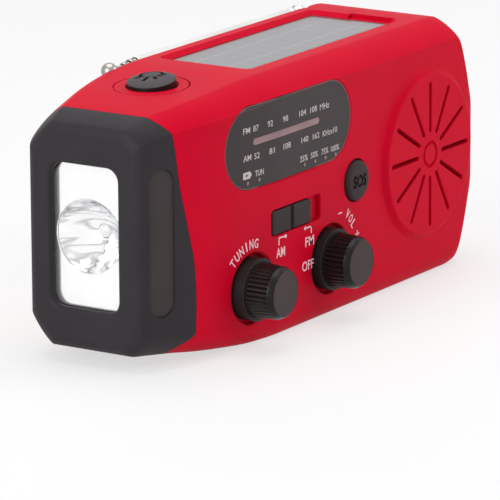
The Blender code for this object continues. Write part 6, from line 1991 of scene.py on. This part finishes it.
@dataclass
class Aerial:
    """The telescopic aerial on its swivel: a fork, an eye, four tubes and a ball.

    Attributes:
        fork: Radius of the swivel's fork.
        foot: Radius of its foot.
        cheek: Height of its rounded cheeks over the hinge.
        slot_half: Half the width of its slot.
        eye, eye_half: Radius and half the thickness of the eye.
        pin, pin_half: Radius and half the length of the hinge pin.
        pin_hole: Radius of the pin's hole in the fork.
        neck: How far the collar stands from the hinge.
        tube: Radius of the first tube.
        step: How much each tube is slimmer than the last.
        wall: Thickness of the tubes.
        mouths: Where the tubes' mouths lie.
        ball_place, ball: Where the ball lies, and its radius.
        bodies: The bodies that the tubes ride on.
    """

    fork: float = 0.0021
    foot: float = 0.0019
    cheek: float = 0.0014
    slot_half: float = 0.0011
    eye: float = 0.00155
    eye_half: float = 0.0008
    pin: float = 0.0007
    pin_half: float = 0.0021
    pin_hole: float = 0.0010
    neck: float = 0.0034
    tube: float = 0.00145
    step: float = 0.00032
    wall: float = 0.00015
    mouths: tuple[float, ...] = (-0.0198, -0.0223, -0.0248)
    ball_place: float = -0.0301
    ball: float = 0.0019
    bodies: tuple[str, ...] = ("aerial_first", "aerial_second", "aerial_third", "aerial_fourth")

    def build_root(self) -> None:
        """The swivel's fork with rounded cheeks, and the eye with its collar."""
        pivot = joint_place("aerial_tilt")
        x, y, z = pivot
        hinge = Axis.Y.across(pivot)
        low, _ = corners("aerial_base")
        profile = [(low[2], 0.0), (low[2], self.foot), (z - self.fork - 0.0003, self.foot),
                   (z - self.fork - 0.0002, self.fork)]
        profile += [(z + 0.0002 + self.cheek * math.sin(a), self.fork * math.cos(a))
                    for a in np.linspace(0, QUARTER, 9)]
        fork = lathe("aerial_fork", profile, Axis.Z, (x, y), 48)
        slot = bar("slot", (-FAR, y - self.slot_half, z - self.fork), (FAR, y + self.slot_half, FAR))
        combine(fork, [slot, rod("hole", hinge, self.pin_hole, (y - 0.01, y + 0.01), Axis.Y)], How.CUT)
        dress(smooth(fork), CHROME, "aerial_swivel_base", ["aerial_base"])
        half = self.eye_half
        eye = rod("aerial_eye", hinge, self.eye, (y - half, y + half), Axis.Y, 48, self.wall, 2)
        start = x - self.neck
        tongue = bar("tongue", (start - 0.0002, y - half, z - 0.0009), (x, y + half, z + 0.0009), 0.0002)
        pin = rod("pin", hinge, self.pin, (y - self.pin_half, y + self.pin_half), Axis.Y, 24, 0.0001, 2)
        collar, neck = self.tube + 0.0001, self.tube - 0.0002
        profile = [(start - 0.0034, 0.0), (start - 0.0034, neck), (start - 0.0012, neck),
                   (start - 0.0011, collar), (start + 0.0001, collar), (start + 0.0003, collar - 0.0003),
                   (start + 0.0003, 0.0)]
        plug = lathe("plug", profile, Axis.X, (y, z), 48)
        combine(eye, [tongue, pin, plug], How.JOIN)
        dress(smooth(eye), CHROME, "aerial_first", ["aerial_root"])

    def build_tubes(self) -> None:
        """Tubes whose mouths are rolled in over the next one, and the ball on the last."""
        centre = Axis.X.across(joint_place("aerial_tilt"))
        for number, body in enumerate(self.bodies):
            node = f"aerial_tube_{number + 1}"
            near = corners(node)[1][0]
            outer = self.tube - self.step * number
            inner, rolled = outer - self.wall, outer + 0.00014
            tip = (*self.mouths, self.ball_place)[number]
            name = f"aerial_stage_{number + 1}"
            if number < len(self.mouths):
                profile = [(tip + 0.0013, outer), (tip + 0.0012, rolled), (tip + 0.0002, rolled),
                           (tip, outer), (tip, inner), (near, inner), (near, outer - 0.00005),
                           (near - 0.0002, outer)]
                tube = lathe(name, profile, Axis.X, centre, 56, closed=True)
            else:
                collar = outer + 0.00025
                profile = [(near, 0.0), (near, outer), (tip + 0.0030, outer), (tip + 0.0027, collar),
                           (tip + 0.0022, collar)]
                profile += [(tip + self.ball * math.cos(a), self.ball * math.sin(a))
                            for a in np.linspace(math.radians(24), math.pi, 28)]
                tube = lathe(name, profile, Axis.X, centre, 56)
            dress(smooth(tube), BALL_STEEL if number else CHROME, body, [node])

    def build(self) -> None:
        """Make the whole aerial."""
        self.build_root()
        self.build_tubes()


@dataclass
class Crank:
    """The folding crank: hub, arm and knob, with softened edges.

    Attributes:
        lifted: How far the arm is lifted out of its bay at rest, in degrees.
        hub, hub_thick, hub_edge: Radius, thickness and edge of the hub's disc.
        hub_bore: Radius of its bore for the shaft.
        ear_near, ear_far: Where the hub's two ears start and end from its middle.
        eye: Radius of the ears and of the arm's eye.
        pin_hole: Radius of the hinge pin's hole.
        arm_length, arm_width, arm_thick: The arm's length from the hinge to the knob's pin, its
            width and its thickness.
        arm_sink: How far the flat arm's face lies under the hinge's axis.
        arm_step: How far from the hinge the arm's full width starts.
        neck_half: Half the width of the arm's eye and of its neck.
        groove_place, groove_width, groove_depth: The groove along both faces of the arm.
        cheek: Thickness of the cheeks of the arm's fork.
        knob_hole: Radius of the hole for the knob's pin.
        grip_depth, grip_wall: Depth and wall of the hollow knob.
        grip_root, grip_tip: Where the knob starts and ends from its pin.
        grip_rings: The knob's sections, as place from its root or its tip, half width and half depth.
    """

    lifted: float = 28.0
    hub: float = 0.0100
    hub_thick: float = 0.0025
    hub_edge: float = 0.0008
    hub_bore: float = 0.0028
    ear_near: float = 0.0049
    ear_far: float = 0.0079
    eye: float = 0.0026
    pin_hole: float = 0.0014
    arm_length: float = 0.0660
    arm_width: float = 0.0160
    arm_thick: float = 0.0036
    arm_sink: float = 0.0014
    arm_step: float = 0.0063
    neck_half: float = 0.0046
    groove_place: float = 0.0040
    groove_width: float = 0.0009
    groove_depth: float = 0.0006
    cheek: float = 0.0032
    knob_hole: float = 0.0012
    grip_depth: float = 0.0085
    grip_wall: float = 0.0018
    grip_root: float = 0.0022
    grip_tip: float = -0.0178
    grip_rings: tuple[tuple[int, float, float, float], ...] = (
        (0, 0.0, 0.0056, 0.0036), (0, -0.0003, 0.0060, 0.0040), (0, -0.0012, 0.0064, 0.00425),
        (0, -0.0044, 0.0080, 0.00425), (1, 0.0022, 0.0080, 0.00425), (1, 0.0008, 0.0076, 0.0041),
        (1, 0.0002, 0.0072, 0.0038), (1, 0.0, 0.0069, 0.0035),
    )

    def build_hub(self) -> None:
        """A disc with a rounded edge, and two ears that hold the hinge pin."""
        x, y = Axis.Z.across(joint_place("crank_fold"))
        spin = joint_place("crank_spin")
        low, _ = corners("crank_hub")
        face = low[1] + self.hub_thick
        levels = [(low[1], 0.0)] + eased(face, -1, self.hub_edge)
        hub = loft("crank_disc", disc(Axis.Y.across(spin), self.hub, 96), levels, Axis.Y)
        parts = []
        for side in (-1, 1):
            start, end = sorted((spin[2] + side * self.ear_near, spin[2] + side * self.ear_far))
            parts.append(rod("ear", (x, y), self.eye, (start, end), Axis.Z, 48, EDGE))
            parts.append(bar("foot", (x - self.eye, face - 0.0005, start), (x + self.eye, y, end), EDGE))
        combine(hub, parts, How.JOIN)
        hole = rod("hole", (x, y), self.pin_hole, (-FAR, FAR), Axis.Z, 24)
        bore = rod("bore", Axis.Y.across(spin), self.hub_bore, (0.0, face - OVER), Axis.Y)
        combine(hub, [hole, bore], How.CUT)
        dress(smooth(hub), ARM_BLACK, "crank", ["crank_hub"])

    def build_arm(self) -> None:
        """A bar with rounded edges, a groove along both faces, an eye and a fork."""
        x, y, z = joint_place("crank_fold")
        knob = self.flat_end()
        top = y - self.arm_sink
        bottom = top - self.arm_thick
        half, neck = self.arm_width / 2, self.neck_half
        arm = bar("crank_bar", (x + self.arm_step, bottom, z - half), (knob[0], top, z + half), 0.0005)
        combine(arm, [
            rod("tip", Axis.Z.across(knob), self.arm_thick / 2, (z - half, z + half), Axis.Z, 32, EDGE),
            rod("eye", (x, y), self.eye, (z - neck, z + neck), Axis.Z, 48, EDGE),
            bar("neck", (x, y - self.eye, z - neck), (x + 0.0101, y + 0.0006, z + neck), EDGE),
        ], How.JOIN)
        cuts = [rod("bore", (x, y), self.pin_hole, (-FAR, FAR), Axis.Z, 24)]
        z0, z1 = z + self.groove_place, z + self.groove_place + self.groove_width
        for face, into in ((top, -1), (bottom, 1)):
            y0, y1 = sorted((face - into * OVER, face + into * self.groove_depth))
            cuts.append(bar("groove", (x + 0.0126, y0, z0), (knob[0] - 0.0064, y1, z1)))
        lug = half - self.cheek
        cuts.append(bar("fork", (knob[0] - 0.00396, -FAR, z - lug), (FAR, FAR, z + lug)))
        cuts.append(rod("knob_bore", Axis.Z.across(knob), self.knob_hole, (-FAR, FAR), Axis.Z, 24))
        combine(arm, cuts, How.CUT)
        self.lift(arm)
        dress(smooth(arm), ARM_BLACK, "arm", ["crank_arm"])

    def lift(self, piece: Piece) -> None:
        """Turn a piece about the hinge, from flat in the bay to the rest pose."""
        moved(piece, turn_about(joint_place("crank_fold"), (0, 0, 1), self.lifted))

    def flat_end(self) -> Array:
        """Return where the knob's pin stands when the arm lies flat in its bay."""
        x, y, z = joint_place("crank_fold")
        return np.array([x + self.arm_length, y - self.arm_sink - self.arm_thick / 2, z])

    def build_grip(self) -> None:
        """A hollow knob, narrower at its root, with rounded edges and an eye for its pin."""
        pin = self.flat_end()
        x, y, z = pin
        top = y - self.arm_thick / 2 - GAP
        low = top - self.grip_depth
        ends = (x + self.grip_root, x + self.grip_tip)
        sections = []
        for end, along, half_z, half_y in self.grip_rings:
            ring = rounded(((top + low) / 2, z), half_y * 2, half_z * 2, 0.0014, 6)
            sections.append(np.column_stack([np.full(len(ring), ends[end] + along), ring]))
        grip = surface("crank_grip", np.stack(sections))
        tip, wall = ends[1], self.grip_wall
        ends = (tip - 0.002, low + wall, z - 0.0044), (tip + 0.0130, top - wall, z + 0.0044)
        hollow = bar("hollow", *ends, EDGE)
        combine(grip, [hollow], How.CUT)
        lug = self.arm_width / 2 - self.cheek - GAP
        eye = rod("eye", (x, y), self.arm_thick / 2, (z - lug, z + lug), Axis.Z, 32, EDGE)
        neck = bar("neck", (x - 0.0018, top - wall, z - lug), (x + 0.0018, y, z + lug), 0.0002)
        combine(grip, [eye, neck], How.JOIN)
        combine(grip, [rod("bore", (x, y), self.knob_hole, (-FAR, FAR), Axis.Z, 24)], How.CUT)
        self.lift(grip)
        dress(smooth(grip), ARM_BLACK, "grip", ["crank_knob"])

    def build(self) -> None:
        """Make the hub, the arm and the knob."""
        self.build_hub()
        self.build_arm()
        self.build_grip()


@dataclass
class Screws:
    """The four case screws, with a crossed recess in each head.

    Attributes:
        shank: Radius of the shank.
        head: Height of the head.
        cross: Half the length and half the width of the recess's arms.
        cross_depth: Depth of the recess.
    """

    shank: float = 0.0011
    head: float = 0.0016
    cross: Pair = (0.0014, 0.0003)
    cross_depth: float = 0.0009

    def build(self) -> None:
        """A domed head with a cross cut into it, on a plain shank."""
        for number in range(4):
            node = f"case_screw_{number + 1}"
            low, high = corners(node)
            x, _, z = (low + high) / 2
            top = high[1]
            seat = top - self.head
            profile = [(low[1], 0.0), (low[1] + 0.0008, self.shank), (seat, self.shank), (seat, 0.0024),
                       (seat + 0.0006, 0.0024), (seat + 0.0011, 0.0021), (top - 0.0001, 0.0013),
                       (top, 0.0006), (top, 0.0)]
            screw = lathe(f"screw_{number + 1}", profile, Axis.Y, (x, z), 40)
            cross = [bar("cross", (x - a, top - self.cross_depth, z - b), (x + a, top + OVER, z + b))
                     for a, b in (self.cross, self.cross[::-1])]
            combine(screw, cross, How.CUT)
            dress(smooth(screw), STEEL, "case", [node])


@dataclass
class Studio:
    """The floor, the lights, the white surroundings and the camera of the photograph.

    Attributes:
        azimuth: The camera's turn round Z, in degrees.
        elevation: Its height over the horizon, in degrees.
        roll: Its roll, in degrees.
        distance: Its distance from the target.
        target: The point that the photograph's fitted camera turns about.
        right: How far the aim lies to the right of the target.
        down: How far the aim lies under the target.
        focal: The camera's focal length in millimetres, on a sensor 36 mm wide.
        lit: The point that the lamps face.
        lamps: Each lamp's name, place, size and power.
        surround: Strength of the light from all round.
        reach: Half the floor's size.
        floor_glow: How far the floor turns white where the camera sees it.
    """

    azimuth: float = -57.21
    elevation: float = 13.25
    roll: float = -0.32
    distance: float = 1.0945
    target: Triple = (-0.00385, 0.0, 0.0299)
    right: float = 0.002836
    down: float = 0.01624
    focal: float = 344.5
    lit: Triple = (0.0, 0.0, 0.03)
    lamps: tuple[tuple[str, Triple, float, float], ...] = (
        ("overhead", (0.05, 0.05, 0.80), 0.7, 3.6), ("torch_side", (-0.80, 0.05, 0.30), 0.5, 3.6),
        ("dial_side", (0.55, -0.65, 0.35), 0.5, 2.2),
    )
    surround: float = 0.42
    reach: float = 1.5
    floor_glow: float = 0.62

    def camera(self) -> None:
        """Aim the camera so that the object falls where the photograph has it, with no shift."""
        a, e, r = (math.radians(v) for v in (self.azimuth, self.elevation, self.roll))
        back = Vector((math.sin(a) * math.cos(e), -math.cos(a) * math.cos(e), math.sin(e)))
        side = Vector((math.cos(a), math.sin(a), 0.0))
        up = back.cross(side)
        right = side * math.cos(r) + up * math.sin(r)
        over = up * math.cos(r) - side * math.sin(r)
        place = Vector(self.target) + back * self.distance
        aim = Vector(self.target) + right * self.right - over * self.down
        back = (place - aim).normalized()
        right = (right - back * right.dot(back)).normalized()
        over = back.cross(right)
        data = bpy.data.cameras.new("camera")
        data.lens = self.focal
        data.sensor_width = 36.0
        data.clip_end = 10.0
        camera = linked("camera", data)
        camera.matrix_world = Matrix.Translation(place) @ Matrix((right, over, back)).transposed().to_4x4()
        bpy.context.scene.camera = camera

    def floor(self) -> None:
        """A wide pale floor that keeps the object's shadow and turns white towards the camera."""
        sheet = bar("floor", (-self.reach, -self.reach, -0.002), (self.reach, self.reach, -0.00005))
        shading = Shading("floor_white")
        shading.set(Base_Color=(0.86, 0.86, 0.86), Roughness=0.6)
        seen = shading.seen()
        share = seen.math("MULTIPLY", seen, self.floor_glow, clamp=True)
        plain = Wire(shading.tree, shading.shader.outputs[0])
        shading.finish(share, plain, shading.node("Emission"), "Material Output")
        sheet.data.materials.append(shading.material)

    def world(self) -> None:
        """Soft light from all round, and plain white for what the camera, metal and glass see."""
        world = bpy.data.worlds.new("surroundings")
        bpy.context.scene.world = world
        world.use_nodes = True
        nodes = Nodes(world.node_tree)
        white = (1.0, 1.0, 1.0)
        light = world.node_tree.nodes["Background"]
        nodes.feed(light.inputs["Color"], white)
        nodes.feed(light.inputs["Strength"], self.surround)
        seen = nodes.seen()
        share = seen.math("MULTIPLY", seen, 1.0, clamp=True)
        plain = Wire(nodes.tree, light.outputs[0])
        nodes.finish(share, plain, nodes.node("Background", Color=white), "World Output")

    def lamp(self, name: str, place: Triple, size: float, power: float) -> None:
        """A square soft light that faces the object."""
        data = bpy.data.lights.new(name, "AREA")
        data.size = size
        data.energy = power
        light = linked(name, data)
        light.location = place
        light.rotation_euler = (Vector(self.lit) - Vector(place)).to_track_quat("-Z", "Y").to_euler()

    def build(self) -> None:
        """Set the whole studio."""
        bpy.context.scene.view_settings.view_transform = "Standard"
        self.camera()
        self.floor()
        self.world()
        for lamp in self.lamps:
            self.lamp(*lamp)


def dress_frame() -> None:
    """Give every CAD node that still shows the finish of its material slot."""
    finishes = {row["node"]: row["material_slot"] for row in frame["record"]["subparts"]}
    for name, piece in frame["nodes"].items():
        finish = PLAIN_SLOTS[finishes[name]]
        if name in ("usb_socket", "charge_socket"):
            finish = SOCKET_STEEL
        if name == "jack_socket":
            finish = SOCKET_BLACK
        if name == "torch_housing":
            finish = FRAME_BLACK
        piece.data.materials.clear()
        piece.data.materials.append(finish.made())


def main() -> None:
    """Build the dressed radio round the frame."""
    logging.basicConfig(level=logging.INFO, format="%(message)s")
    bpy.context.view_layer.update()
    Studio().build()
    dress_frame()
    form = CaseForm()
    case = Case(form)
    printing = Printing(form)
    for part in (case, Torch(case), Dial(form, printing), Controls(form, printing), Solar(), Aerial(),
                 Crank(), Screws()):
        part.build()


if __name__ == "__main__":
    main()
